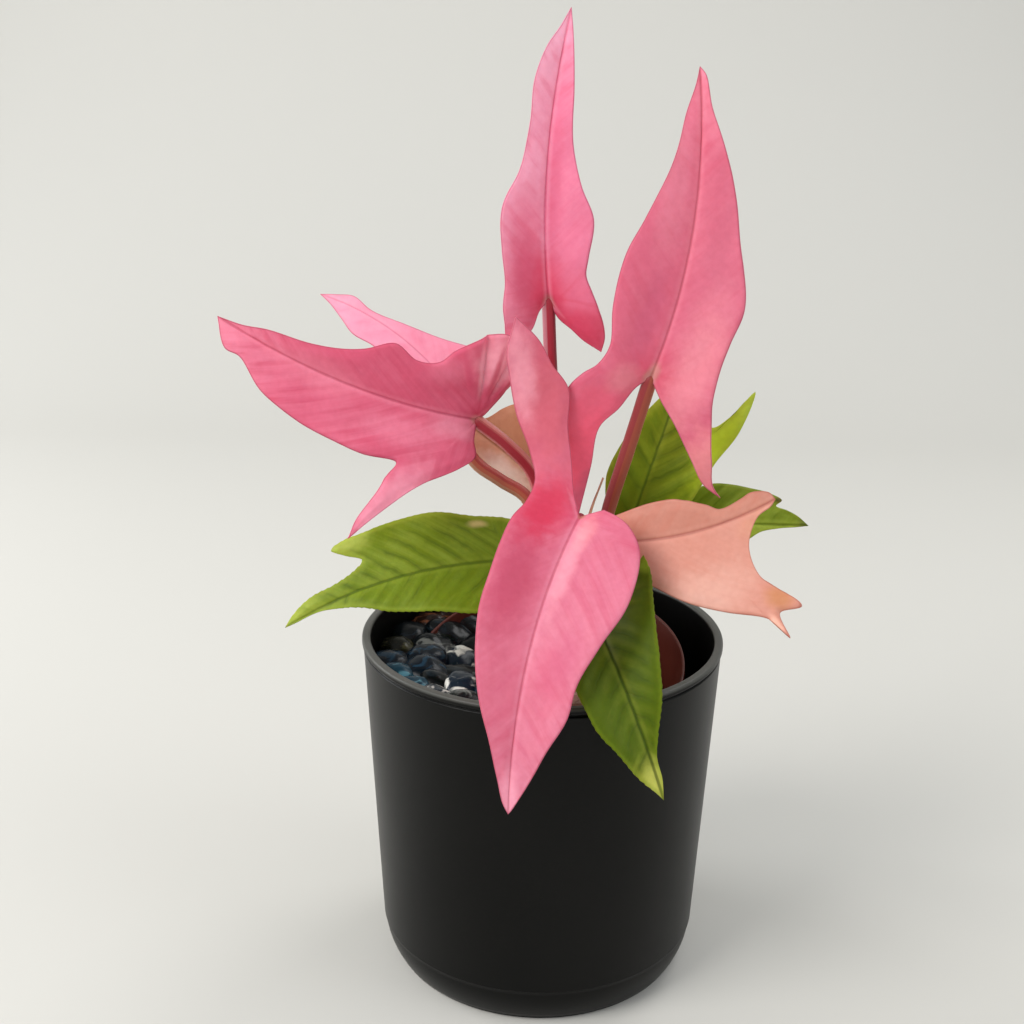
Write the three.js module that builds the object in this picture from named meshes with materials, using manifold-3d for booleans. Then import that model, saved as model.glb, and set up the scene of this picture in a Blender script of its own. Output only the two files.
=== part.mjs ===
// An arrowhead plant (Syngonium) with pink, salmon and green leaves, growing in a nursery pot that
// stands in a matt black cachepot on a bed of tumbled pebbles. Millimetres, +Z up.
// The origin is the centre of the cachepot's base; the front of the plant faces -Y.
import * as THREE from "three";
import { mergeVertices } from "three/addons/utils/BufferGeometryUtils.js";
import Module from "manifold-3d";

const wasm = await Module();
wasm.setup();

// ---- Driving dimensions ----

const GAP = 0.3; // clearance kept between pieces that touch

// The cachepot: a plain tapered cup with a rounded lip, a fine groove under it and a foot that draws
// in to a short standing ring.
const CACHEPOT = {
  height: 117.3,
  rimRadius: 60,
  wall: 2.8,
  floor: 3,
  lipHeight: 2.9,
  grooveDepth: 0.6,
  footHeight: 13.8,
  footTopRadius: 54.1,
  footBottomRadius: 50,
  footSwell: 1, // the foot stands this far out from a straight cone, half way up
  footSteps: 3,
  standHeight: 1.2,
  standRadius: 48.6,
  edge: 0.5, // rounding of the lip, the groove and the standing ring
  sides: 48,
};

// The thin-walled nursery pot leans towards the front, propped on the pebbles.
const NURSERY = {
  rimCentre: [2, -4.5, 107],
  leanFront: 14, // degrees about X
  leanSide: -4, // degrees about Y
  rimRadius: 45,
  baseRadius: 36,
  height: 68,
  wall: 1.4,
  bandHeight: 3,
  bandDepth: 0.9,
  soilBelowRim: 20,
  soilFlat: 0.75, // the soil's top is flat out to this share of the pot's inner radius
  soilDip: 1.5, // and this much lower where it meets the wall
  sides: 36,
};

// Tumbled pebbles: a drainage bed under the nursery pot and a heap over its left and front rim.
const PEBBLES = {
  seed: 11,
  size: 7.4, // mean half length of a stone
  spacing: 12.2,
  bedTop: 42,
  fillTop: 100,
  fillRight: 14, // outside the nursery pot, the heap ends at this X
  insideRight: -16, // inside it, at this one
  // Rings of stones on the heap: radius, first and last bearing in degrees from +X, and height.
  rings: [
    { radius: 50, from: 84, to: 285, height: 104 },
    { radius: 39, from: 128, to: 248, height: 104 },
    { radius: 27.5, from: 142, to: 226, height: 101 },
  ],
  frontRise: 6, // the heap stands this much higher at the front than at the left
  frontFrom: -30, // in front of this Y, its filling does so too
};

const BLADE_THICKNESS = 0.8;
const SPANS = 2; // mesh rows between two ribs of a leaf
const ACROSS = 2; // mesh columns from midrib to margin
const STALK_SIDES = 7;
const STALK_STEPS = 7;

// The clasping base of every petiole: upright in the soil up to uprightTo, and slimmer from flareFrom
// to top.
const SHEATH = { radius: 2.9, bottom: 78, flareFrom: 88, uprightTo: 92, top: 104 };
const SEAT_SLACK = 1.1; // the petiole's end keeps a little more than its own radius to the blade

// A rolled young leaf, still a spike, beside the petiole of the right-hand leaf.
const SHOOT = {
  root: [6, -1],
  via: [[8, -0.5, 122], [12, 0.5, 145], [15.2, 1, 160]],
  end: [18.8, 2, 170.5],
  radius: 1.2,
  endRadius: 0.35,
  sheathRadius: 1.8,
};

const COLOURS = {
  black: { color: 0x1c1c1a, roughness: 0.5 },
  maroon: { color: 0x5a2620, roughness: 0.6 },
  soil: { color: 0x2e211a, roughness: 1 },
  stone: { color: 0x2c3a44, roughness: 0.25 },
  pink: { color: 0xe4708c, roughness: 0.55 },
  salmon: { color: 0xe19b87, roughness: 0.55 },
  green: { color: 0x6e7d1e, roughness: 0.5 },
  redStalk: { color: 0x962d34, roughness: 0.5 },
  brownStalk: { color: 0x964e38, roughness: 0.5 },
  greenStalk: { color: 0x8c8a4a, roughness: 0.5 },
  youngLeaf: { color: 0xc9a07c, roughness: 0.5 },
};

// ---- Leaves ----
// Each blade is a flat arrowhead outline laid on a bent surface. In the outline x runs along the
// midrib from the junction (where the petiole meets the blade) to the tip, and y to the leaf's own
// left as seen from above. A station is [midrib x, left margin x, y, right margin x, y]. A lobe row
// behind the junction is [inner edge x, y, outer edge x, y], and its last point is the lobe's tip.
// facing is the way the upper face looks. fold is how far, in degrees, each half rises from the
// midrib, at the lobe, the junction and the tip. arch and bow bend the midrib up and sideways.
// lobeDrop bends the left and right lobe down, by that much at lobeReach behind the junction.
const LEAVES = [
  {
    name: "pink_top",
    colour: COLOURS.pink,
    petiole: {
      colour: COLOURS.redStalk,
      radius: 2.1,
      root: [4, 6],
      via: [[5.5, 5.5, 141], [3.3, 5, 179], [1.2, 4.6, 205]],
    },
    junction: [0, 2, 228],
    tip: [5, -6, 315],
    facing: [0.1, -1, 0.3],
    fold: { left: [10, 22, 30], right: [10, 22, 30] },
    arch: 3,
    bow: 4,
    lobeReach: 25,
    lobeDrop: [2, 3],
    stations: [
      [81.5, 82.5, 2, 81.5, -2], [74.5, 77, 5.5, 74.5, -4], [65, 68, 7.5, 65, -6],
      [51, 55, 7, 48, -8], [37, 41.5, 9, 37.5, -11.5], [25.5, 29.5, 14.5, 28, -15.5],
      [14, 17, 14.5, 16, -14], [5.5, 6, 14, 10, -13], [0, -2, 15.5, 5, -14.5],
    ],
    leftLobe: [
      [-3.5, 3.5, -7.5, 15.5], [-9.5, 6.5, -12, 15.5], [-17.5, 14],
    ],
    rightLobe: [
      [-5.5, -2.5, 0, -16], [-9, -6.5, -5.5, -17], [-12.5, -10, -11, -17], [-16, -15.5],
    ],
  },
  {
    name: "pink_right",
    colour: COLOURS.pink,
    petiole: {
      colour: COLOURS.redStalk,
      radius: 2.3,
      root: [11, 2],
      via: [[15, 3, 127], [20.5, 2, 158], [26, -3, 181]],
    },
    junction: [32, -8, 206],
    tip: [43, -4, 299],
    facing: [-0.15, -1, 0.3],
    fold: { left: [5, 15, 25], right: [5, 18, 25] },
    arch: 4,
    bow: -6,
    lobeReach: 45,
    lobeDrop: [-2, 2],
    stations: [
      [89, 88.5, 1.5, 91.5, -2], [81.5, 80.5, 4.5, 82.5, -3.5], [71, 65.5, 8.5, 71, -8.5],
      [58, 48.5, 15, 58, -12.5], [45, 37, 19, 48, -15], [32, 22, 19, 37.5, -18.5],
      [18.5, 8.5, 16, 26, -21.5], [8.5, 2.5, 17.5, 15.5, -20.5], [0, -1, 21, 6, -20.5],
    ],
    leftLobe: [
      [-3.5, 3, -6.5, 23.5], [-11, 5.5, -15.5, 22], [-18, 9, -27.5, 17.5], [-32, 6.5, -39.5, 11.5],
      [-49, 4],
    ],
    rightLobe: [
      [-5.5, -5.5, -4, -22.5], [-13, -13.5, -12.5, -25.5], [-23.5, -23, -22.5, -29.5],
      [-31, -29.5, -30.5, -32.5], [-34.5, -36.5],
    ],
  },
  {
    name: "pink_left",
    colour: COLOURS.pink,
    petiole: {
      colour: COLOURS.redStalk,
      radius: 2.2,
      root: [-2, 0],
      via: [[0, -1, 135], [-3.3, -1.5, 171], [-12.1, -2, 182]],
    },
    junction: [-22, -1, 190],
    tip: [-98, -26, 227],
    facing: [0.15, -1, 0.35],
    fold: { left: [5, 12, 15], right: [0, 20, 30] },
    arch: 4,
    bow: 5,
    lobeReach: 35,
    lobeDrop: [0, 5],
    stations: [
      [83.5, 83.5, 7.5, 81.5, -1.5], [76, 78.5, 7.5, 73.5, -4.5], [63.5, 69.5, 13.5, 60.5, -7],
      [51, 56, 17, 52, -9.5], [39, 44, 18.5, 45, -12.5], [26.5, 34.5, 19.5, 37, -17.5],
      [16, 23, 19, 28, -14.5], [0, 24.5, 23, 20.5, -16],
    ],
    leftLobe: [
      [-1, 7, 25.5, 25.5], [-3, 12.5, 26, 28], [1.5, 17, 27.5, 31.5], [12, 23.5, 29, 36],
      [21, 32.5, 31, 41.5], [31.5, 46],
    ],
    rightLobe: [
      [-1.5, -1.5, 17.5, -20.5], [-3.5, -6, 12, -26.5], [-5.5, -11, 5.5, -30],
      [-7.5, -16, -1.5, -28], [-9.5, -20.5],
    ],
  },
  {
    name: "pink_back",
    colour: COLOURS.pink,
    petiole: {
      colour: COLOURS.brownStalk,
      radius: 2.2,
      root: [-3, 8],
      via: [[-2, 8, 132], [-5.5, 8, 160.5], [-14.9, 10, 166.6], [-24, 12, 173]],
    },
    junction: [-32, 12, 198],
    tip: [-74, 18, 226],
    facing: [0.1, -1, 0.7],
    fold: { left: [5, 10, 15], right: [5, 10, 15] },
    arch: 3,
    bow: -3,
    lobeReach: 25,
    lobeDrop: [0, 0],
    stations: [
      [47.5, 46.5, 2, 46, -2], [40.5, 40.5, 5.5, 41.5, -3.5], [30.5, 34.5, 8.5, 34, -2],
      [20.5, 26.5, 8.5, 23.5, -4], [10, 16, 11.5, 11, -8.5], [0, 8.5, 16, 1.5, -14],
    ],
    leftLobe: [
      [0, 5.5, 4.5, 19], [0.5, 20.5],
    ],
    rightLobe: [
      [-4, -6.5, -4, -18], [-8.5, -21],
    ],
  },
  {
    name: "pink_front",
    colour: COLOURS.pink,
    petiole: {
      colour: COLOURS.redStalk,
      radius: 2,
      root: [5, -8],
      via: [[6, -13, 125], [9, -20, 150]],
    },
    junction: [11, -24, 166],
    tip: [-9, -74, 90],
    facing: [0.05, -1, 0.8],
    fold: { left: [25, 12, 25], right: [30, 12, 25] },
    arch: 11,
    bow: -5,
    lobeReach: 45,
    lobeDrop: [6, -22],
    stations: [
      [90.5, 92, 1, 90.5, -2], [84, 85.5, 5, 84.5, -4], [74.5, 77, 9.5, 76.5, -7],
      [61.5, 64.5, 15.5, 65.5, -12], [48.5, 54.5, 16.5, 53.5, -15.5],
      [35.5, 41.5, 20.5, 40.5, -18], [23.5, 26.5, 25, 27, -18.5], [12, 9, 22.5, 16, -19],
      [0, 0.5, 16, 6.5, -19],
    ],
    leftLobe: [
      [-2, 3, -2.5, 11], [-4, 6],
    ],
    rightLobe: [
      [-6, -4.5, 0, -17.5], [-17.5, -11, -8, -18.5], [-27, -17.5, -16, -24.5],
      [-36.5, -23, -24.5, -34], [-41, -32, -33, -42], [-45.5, -39.5, -39.5, -47.5], [-48.5, -49.5],
    ],
  },
  {
    name: "salmon_right",
    colour: COLOURS.salmon,
    petiole: {
      colour: COLOURS.brownStalk,
      radius: 1.8,
      root: [13, -6],
      via: [[15, -9, 120], [17, -12, 138]],
    },
    junction: [20, -13, 154],
    tip: [71, -22, 172],
    facing: [-0.1, -1, 0.9],
    fold: { left: [5, 25, 35], right: [5, 5, 5] },
    arch: 2,
    bow: -5,
    lobeReach: 25,
    lobeDrop: [0, 0],
    stations: [
      [49.5, 53.5, 3, 53, -1.5], [48, 48.5, 5.5, 48.5, -2.5], [43.5, 45, 5, 44.5, -9.5],
      [27.8, 38, 4.5, 46, -21.5], [27.2, 34.5, 7, 53, -31], [26.8, 31.5, 8.7, 56.5, -37.5],
      [26.4, 29.5, 9.8, 50, -36], [25.9, 27.5, 10.5, 51.5, -45], [25.2, 24.5, 11.5, 46.5, -36.5],
      [14, 16.5, 11.5, 34, -29], [6, 8, 9.5, 22, -22.5], [0, 1.5, 7, 12, -15.5],
    ],
    leftLobe: [
      [-2.5, 4],
    ],
    rightLobe: [
      [1, -4, 5, -12.5], [2, -9.5],
    ],
  },
  {
    name: "green_left",
    colour: COLOURS.green,
    petiole: {
      colour: COLOURS.greenStalk,
      radius: 1.7,
      root: [-3, -8],
      via: [[-5, -7, 115], [-7, -6, 132]],
    },
    junction: [-8, -8, 145],
    tip: [-83, -18, 124],
    facing: [0.1, -1, 0.9],
    fold: { left: [5, 5, 10], right: [5, 8, 10] },
    arch: 5,
    bow: -4,
    lobeReach: 25,
    lobeDrop: [0, 0],
    stations: [
      [74, 74, 0.5, 75.5, -2], [67.5, 66, 1, 67.5, -4.5], [58, 58, 3.5, 59, -5],
      [49.5, 50.5, 7, 52.5, -6.5], [34, 44, 10.5, 48.5, -9], [27.5, 39.5, 12, 53.5, -12.5],
      [22, 35, 13.5, 57.5, -16], [17.5, 30.5, 14.5, 52.5, -17.5], [13, 25, 16, 46.5, -17.5],
      [8.5, 18.5, 17.5, 35, -18.5], [4.5, 10, 17.5, 21.5, -18.5], [0, 5.5, 16.5, 10.5, -16],
    ],
    leftLobe: [
      [1, 13],
    ],
    rightLobe: [
      [-3, -3.5, -0.5, -14.5], [-8, -10],
    ],
  },
  {
    name: "green_front",
    colour: COLOURS.green,
    petiole: {
      colour: COLOURS.greenStalk,
      radius: 1.6,
      root: [9, -15],
      via: [[11, -19, 110], [13, -26, 126]],
    },
    junction: [15, -30, 137],
    tip: [37, -67, 92],
    facing: [0.2, -1, 0.8],
    fold: { left: [60, 40, 16], right: [5, 8, 15] },
    arch: 11,
    bow: -2,
    lobeReach: 25,
    lobeDrop: [-20, 0],
    stations: [
      [58, 57, 1.5, 59.5, -2], [51, 51, 2, 54.5, -6], [42.5, 44, 5, 46.5, -10],
      [32.5, 36.5, 9, 39.5, -13.5], [22.5, 26.5, 12.5, 31, -15], [12.5, 15, 16.5, 22.5, -15],
      [0, 5.5, 20, 12, -13],
    ],
    leftLobe: [
      [-2, 10, -2.5, 23], [-8.5, 24],
    ],
    rightLobe: [
      [-1, -2.5, 5, -10.5], [-1.5, -6.5],
    ],
  },
  {
    name: "green_back",
    colour: COLOURS.green,
    petiole: {
      colour: COLOURS.greenStalk,
      radius: 1.7,
      root: [11, 10],
      via: [[16, 12, 120], [23, 13, 142]],
    },
    junction: [29, 8, 154],
    tip: [46, 22, 203],
    facing: [0, -1, 0.6],
    fold: { left: [5, 8, 10], right: [5, 8, 10] },
    arch: 4,
    bow: 0,
    lobeReach: 25,
    lobeDrop: [0, 0],
    stations: [
      [46, 47, 2, 50.5, -4], [40.5, 39, 6, 45.5, -7.5], [32, 31, 9.5, 40, -11],
      [13, 24, 11.5, 37.5, -14.5], [3, 19, 12.5, 42, -18.7], [1.4, 15.5, 13, 53, -24],
      [1.1, 11.5, 13, 39, -23.5], [0.7, 7.5, 12, 27, -19.5], [0.4, 3.5, 10.5, 17.5, -17.5],
      [0, 0, 9, 10, -15.5],
    ],
    leftLobe: [
      [-5, 4],
    ],
    rightLobe: [
      [-2, -4, 3, -11.5], [-3.5, -9],
    ],
  },
  {
    name: "green_right",
    colour: COLOURS.green,
    petiole: {
      colour: COLOURS.greenStalk,
      radius: 1.6,
      root: [18, 5],
      via: [[23, 12, 115], [31, 18, 138]],
    },
    junction: [36, 16, 148],
    tip: [88, 12, 152],
    facing: [0, -1, 0.9],
    fold: { left: [5, 8, 10], right: [5, 8, 10] },
    arch: 3,
    bow: 0,
    lobeReach: 25,
    lobeDrop: [0, 0],
    stations: [
      [46.5, 49, 3, 48, -0.7], [43, 45.5, 5, 42.5, -1.3], [31.5, 42, 6.5, 36.5, -2.8],
      [24.5, 44, 8.5, 32, -6], [22, 39.5, 11, 27.5, -8.5], [20, 34, 12.5, 22, -10],
      [12.5, 27.5, 14, 16, -10.5], [6.5, 21, 14.5, 10.5, -9.5], [0, 14, 12.5, 5, -7.5],
    ],
    leftLobe: [
      [3.5, 8.5],
    ],
    rightLobe: [
      [-2, -6.5],
    ],
  },
  {
    name: "peach_back",
    colour: COLOURS.salmon,
    petiole: {
      colour: COLOURS.greenStalk,
      radius: 1.5,
      root: [3, 14],
      via: [[3, 18, 120], [3, 21, 145]],
    },
    junction: [1, 19, 161],
    tip: [-31, 27, 184],
    facing: [0.1, -1, 0.5],
    fold: { left: [5, 8, 10], right: [5, 12, 10] },
    arch: 3,
    bow: 0,
    lobeReach: 25,
    lobeDrop: [0, 0],
    stations: [
      [34, 35, 3, 35.5, -1.5], [26, 27.5, 6, 31, -5.5], [18, 21, 7, 28.5, -11.5],
      [10, 14, 7, 25.5, -15.5], [0, 6.5, 7.5, 19.5, -16.5],
    ],
    leftLobe: [
      [0, 7.5],
    ],
    rightLobe: [
      [2.5, -6, 13, -16.5], [6, -14],
    ],
  },
];

// ---- Small helpers ----

const degrees = THREE.MathUtils.degToRad;
const clamp = THREE.MathUtils.clamp;
const lerp = THREE.MathUtils.lerp;
const smooth = (t) => THREE.MathUtils.smoothstep(t, 0, 1);
const vector = (p) => new THREE.Vector3(...p);

function material({ color, roughness }) {
  return new THREE.MeshStandardMaterial({ color, roughness, metalness: 0 });
}

function piece(name, geometry, colour) {
  const mesh = new THREE.Mesh(geometry, material(colour));
  mesh.name = name;
  return mesh;
}

// A repeatable stream of numbers from 0 to 1.
function randomStream(seed) {
  let state = seed;
  return () => {
    state = (state * 1664525 + 1013904223) % 4294967296;
    return state / 4294967296;
  };
}

// ---- Solids from geometries ----

function positionsOnly(geometry) {
  const bare = new THREE.BufferGeometry();
  bare.setAttribute("position", geometry.getAttribute("position"));
  bare.setIndex(geometry.index);
  return mergeVertices(bare, 1e-3);
}

function solid(geometry) {
  const merged = positionsOnly(geometry);
  const mesh = new wasm.Mesh({
    numProp: 3,
    vertProperties: merged.getAttribute("position").array,
    triVerts: new Uint32Array(merged.index.array),
  });
  return new wasm.Manifold(mesh);
}

function geometryOf(made) {
  const mesh = made.getMesh();
  const geometry = new THREE.BufferGeometry();
  geometry.setAttribute("position", new THREE.BufferAttribute(mesh.vertProperties, 3));
  geometry.setIndex(new THREE.BufferAttribute(mesh.triVerts, 1));
  return geometry;
}

function geometryFrom(points, triangles) {
  const flat = points.flatMap((p) => [p.x, p.y, p.z]);
  const geometry = new THREE.BufferGeometry();
  geometry.setAttribute("position", new THREE.Float32BufferAttribute(flat, 3));
  geometry.setIndex(triangles.flat());
  return geometry;
}

// A lathed solid about Z. The profile of [radius, height] points starts and ends on the axis.
function turned(profile, sides) {
  const points = profile.map(([radius, height]) => new THREE.Vector2(radius, height));
  const geometry = new THREE.LatheGeometry(points, sides);
  geometry.rotateX(Math.PI / 2);
  return geometry;
}

// ---- Leaf blades ----

function leafFrame(leaf) {
  const junction = vector(leaf.junction);
  const along = vector(leaf.tip).sub(junction);
  const length = along.length();
  along.normalize();
  const up = vector(leaf.facing);
  up.addScaledVector(along, -up.dot(along)).normalize();
  const left = new THREE.Vector3().crossVectors(up, along);
  return { junction, length, along, up, left };
}

// The point of a leaf's bent middle surface that the outline's point (x, y) comes to.
function bladePoint(leaf, x, y) {
  const { junction, length, along, up, left } = leafFrame(leaf);
  const t = x / length;
  const behind = Math.max(-x / leaf.lobeReach, 0);
  const onLeft = y >= 0;
  const [atLobe, atJunction, atTip] = onLeft ? leaf.fold.left : leaf.fold.right;
  const rise = atJunction + (atTip - atJunction) * smooth(t) + (atLobe - atJunction) * smooth(behind);
  const drop = onLeft ? leaf.lobeDrop[0] : leaf.lobeDrop[1];
  const bend = t > 0 ? 4 * t * (1 - t) : 4 * t;
  const sideways = y * Math.cos(degrees(rise)) + leaf.bow * bend;
  const upwards = Math.abs(y) * Math.sin(degrees(rise)) + leaf.arch * bend - drop * behind ** 2;
  const point = junction.clone().addScaledVector(along, x);
  return point.addScaledVector(left, sideways).addScaledVector(up, upwards);
}

// Flat ribs of one half, from the tip back to the lobe's end: root and margin points.
function halfRibs(leaf, side) {
  const { length } = leafFrame(leaf);
  const at = side === "left" ? 1 : 3;
  const lobe = side === "left" ? leaf.leftLobe : leaf.rightLobe;
  const lobeTip = lobe.at(-1);
  return [
    { root: [length, 0], edge: [length, 0] },
    ...leaf.stations.map((s) => ({ root: [s[0], 0], edge: [s[at], s[at + 1]] })),
    ...lobe.slice(0, -1).map((r) => ({ root: [r[0], r[1]], edge: [r[2], r[3]] })),
    { root: lobeTip, edge: lobeTip },
  ];
}

// More ribs between those of a half: margins are smooth curves, roots on the midrib stay straight.
function fineRibs(leaf, side) {
  const ribs = halfRibs(leaf, side);
  const lastOnMidrib = leaf.stations.length;
  const curve = (key, from) =>
    new THREE.CatmullRomCurve3(
      ribs.slice(from).map((rib) => new THREE.Vector3(...rib[key], 0)),
      false,
      "centripetal",
    );
  const edges = curve("edge", 0);
  const lobeRoots = curve("root", lastOnMidrib);
  const fine = [];
  for (let row = 0; row <= (ribs.length - 1) * SPANS; row++) {
    const place = row / SPANS;
    const edge = edges.getPoint(place / (ribs.length - 1));
    const from = Math.min(Math.floor(place), ribs.length - 2);
    const rootX = lerp(ribs[from].root[0], ribs[from + 1].root[0], place - from);
    const behind = (place - lastOnMidrib) / (ribs.length - 1 - lastOnMidrib);
    const root = behind > 0 ? lobeRoots.getPoint(behind) : new THREE.Vector3(rootX, 0, 0);
    fine.push({ root, edge, onMidrib: behind <= 0 });
  }
  return fine;
}

// The middle surface of a blade as points and triangles that face upwards. Both halves share the
// points of the midrib.
function bladeSheet(leaf) {
  const points = [];
  const triangles = [];
  const known = new Map();
  const pointAt = (key, x, y) => {
    if (!known.has(key)) {
      known.set(key, points.length);
      points.push(bladePoint(leaf, x, y));
    }
    return known.get(key);
  };
  const addTriangle = (a, b, c) => {
    if (a !== b && b !== c && c !== a) triangles.push([a, b, c]);
  };
  for (const side of ["left", "right"]) {
    const ribs = fineRibs(leaf, side);
    const grid = ribs.map(({ root, edge, onMidrib }, row) => {
      const columns = [];
      for (let column = 0; column <= ACROSS; column++) {
        const share = column / ACROSS;
        const x = lerp(root.x, edge.x, share);
        // A point of the right half keeps a y just under zero, so that it bends with its own half.
        const across = lerp(root.y, edge.y, share);
        const y = side === "left" ? Math.max(across, 0) : across;
        let key = `${side} ${row} ${column}`;
        if (row === 0) key = "tip";
        else if (row === ribs.length - 1) key = `${side} lobe tip`;
        else if (column === 0 && onMidrib) key = `midrib ${row}`;
        columns.push(pointAt(key, x, y));
      }
      return columns;
    });
    for (let row = 0; row + 1 < grid.length; row++) {
      for (let column = 0; column < ACROSS; column++) {
        const [a, b] = [grid[row][column], grid[row][column + 1]];
        const [c, d] = [grid[row + 1][column], grid[row + 1][column + 1]];
        if (side === "left") {
          addTriangle(a, d, c);
          addTriangle(a, b, d);
        } else {
          addTriangle(a, c, d);
          addTriangle(a, d, b);
        }
      }
    }
  }
  return { points, triangles };
}

function sheetNormals(points, triangles) {
  const normals = points.map(() => new THREE.Vector3());
  for (const [a, b, c] of triangles) {
    const ab = points[b].clone().sub(points[a]);
    const ac = points[c].clone().sub(points[a]);
    const normal = ab.cross(ac);
    for (const corner of [a, b, c]) normals[corner].add(normal);
  }
  return normals.map((normal) => normal.normalize());
}

// Gives an open sheet a thickness, with the same triangles on both faces and a wall round its edge.
function thickened({ points, triangles }, thickness) {
  const normals = sheetNormals(points, triangles);
  const count = points.length;
  const shifted = (distance) =>
    points.map((point, i) => point.clone().addScaledVector(normals[i], distance));
  const upper = shifted(thickness / 2);
  const lower = shifted(-thickness / 2);
  const faces = [...triangles, ...triangles.map(([a, b, c]) => [c + count, b + count, a + count])];
  const directed = new Set(triangles.flatMap(([a, b, c]) => [`${a} ${b}`, `${b} ${c}`, `${c} ${a}`]));
  for (const edge of directed) {
    const [a, b] = edge.split(" ").map(Number);
    if (directed.has(`${b} ${a}`)) continue;
    faces.push([b, a, a + count], [b, a + count, b + count]);
  }
  return geometryFrom([...upper, ...lower], faces);
}

function bladeMesh(leaf) {
  return piece(`blade_${leaf.name}`, thickened(bladeSheet(leaf), BLADE_THICKNESS), leaf.colour);
}

// ---- Petioles ----

// The last point of a petiole: just under the blade, seated against it.
function seatUnderBlade(leaf) {
  const { radius, via } = leaf.petiole;
  const at = bladePoint(leaf, 0, 0);
  const forward = bladePoint(leaf, 1, 0).sub(at);
  const up = leafFrame(leaf).left.clone().cross(forward).normalize().negate();
  const arriving = at.clone().sub(vector(via.at(-1))).normalize();
  const slant = Math.sqrt(1 - arriving.dot(up) ** 2);
  const distance = BLADE_THICKNESS / 2 + GAP + SEAT_SLACK * radius * slant;
  return at.addScaledVector(up, -distance);
}

function petioleStalk(leaf) {
  const { radius, root, via } = leaf.petiole;
  const end = seatUnderBlade(leaf).toArray();
  return { root, via, end, radius, endRadius: radius, sheathRadius: SHEATH.radius };
}

// A round stalk through its route's points, thicker at its clasping base. grow makes it fatter all
// over and longer below, for the hole that it stands in.
function stalkGeometry(stalk, grow = 0) {
  const [rootX, rootY] = stalk.root;
  const bottom = new THREE.Vector3(rootX, rootY, SHEATH.bottom - grow);
  const upright = new THREE.Vector3(rootX, rootY, SHEATH.uprightTo);
  const route = new THREE.CatmullRomCurve3(
    [bottom, upright, ...stalk.via.map(vector), vector(stalk.end)],
    false,
    "centripetal",
  );
  const steps = STALK_STEPS + 2 * stalk.via.length;
  const frames = route.computeFrenetFrames(steps, false);
  const points = [];
  for (let step = 0; step <= steps; step++) {
    const centre = route.getPointAt(step / steps);
    const flare = 1 - smooth((centre.z - SHEATH.flareFrom) / (SHEATH.top - SHEATH.flareFrom));
    const taper = lerp(stalk.radius, stalk.endRadius, smooth(2 * (step / steps) - 1));
    const size = lerp(taper, stalk.sheathRadius, flare) + grow;
    for (let corner = 0; corner < STALK_SIDES; corner++) {
      const turn = (corner / STALK_SIDES) * 2 * Math.PI;
      const point = centre.clone();
      point.addScaledVector(frames.normals[step], size * Math.cos(turn));
      point.addScaledVector(frames.binormals[step], size * Math.sin(turn));
      points.push(point);
    }
  }
  return geometryFrom(points, tubeTriangles(steps, STALK_SIDES));
}

// Triangles of a closed tube of rings, with a fan at each end.
function tubeTriangles(steps, sides) {
  const triangles = [];
  const last = steps * sides;
  for (let step = 0; step < steps; step++) {
    for (let corner = 0; corner < sides; corner++) {
      const a = step * sides + corner;
      const b = step * sides + ((corner + 1) % sides);
      triangles.push([a, b, b + sides], [a, b + sides, a + sides]);
    }
  }
  for (let corner = 1; corner + 1 < sides; corner++) {
    triangles.push([0, corner + 1, corner], [last, last + corner, last + corner + 1]);
  }
  return triangles;
}

function petioleMesh(leaf) {
  return piece(`petiole_${leaf.name}`, stalkGeometry(petioleStalk(leaf)), leaf.petiole.colour);
}

// ---- Pots and soil ----

// The foot's outside, a slightly swollen cone, as [radius, height] points from the bottom up.
function footCurve() {
  const p = CACHEPOT;
  const points = [];
  for (let step = 0; step <= p.footSteps; step++) {
    const t = step / p.footSteps;
    const radius = lerp(p.footBottomRadius, p.footTopRadius, t) + 4 * p.footSwell * t * (1 - t);
    points.push([radius, lerp(p.standHeight, p.footHeight, t)]);
  }
  return points;
}

function cachepotProfile() {
  const p = CACHEPOT;
  const grooveZ = p.height - p.lipHeight;
  const wallRadius = p.rimRadius - p.edge;
  const innerRim = p.rimRadius - p.wall;
  return [
    [0, 0],
    [p.standRadius - p.edge, 0],
    [p.standRadius, p.edge],
    [p.standRadius, p.standHeight - p.edge],
    ...footCurve(),
    [wallRadius, grooveZ - p.edge],
    [wallRadius - p.grooveDepth, grooveZ],
    [wallRadius, grooveZ + p.edge],
    [p.rimRadius, grooveZ + 2 * p.edge],
    [p.rimRadius, p.height - 2 * p.edge],
    [p.rimRadius - p.edge, p.height - p.edge / 2],
    [p.rimRadius - 2 * p.edge, p.height],
    [innerRim + p.edge, p.height],
    [innerRim, p.height - p.edge],
    [p.footTopRadius - p.wall, p.footHeight],
    [p.standRadius - p.wall, p.floor],
    [0, p.floor],
  ];
}

function cachepotMesh() {
  return piece("cachepot", turned(cachepotProfile(), CACHEPOT.sides), COLOURS.black);
}

function nurseryInside(depth) {
  const p = NURSERY;
  const slope = (p.rimRadius - p.baseRadius) / p.height;
  return p.rimRadius - p.wall - slope * depth;
}

// Heights in the nursery pot's and the soil's profiles count down from the pot's rim. grow thickens
// them all round, for what has to stay clear of them.
function nurseryProfile(grow = 0) {
  const p = NURSERY;
  const band = p.rimRadius + p.bandDepth + grow;
  const floorDepth = p.height - p.wall;
  return [
    [0, -p.height - grow],
    [p.baseRadius + grow, -p.height - grow],
    [p.rimRadius + grow, -p.bandHeight - grow],
    [band, -p.bandHeight - grow],
    [band, grow],
    [nurseryInside(0) - grow, grow],
    [nurseryInside(floorDepth) - grow, grow - floorDepth],
    [0, grow - floorDepth],
  ];
}

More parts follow.
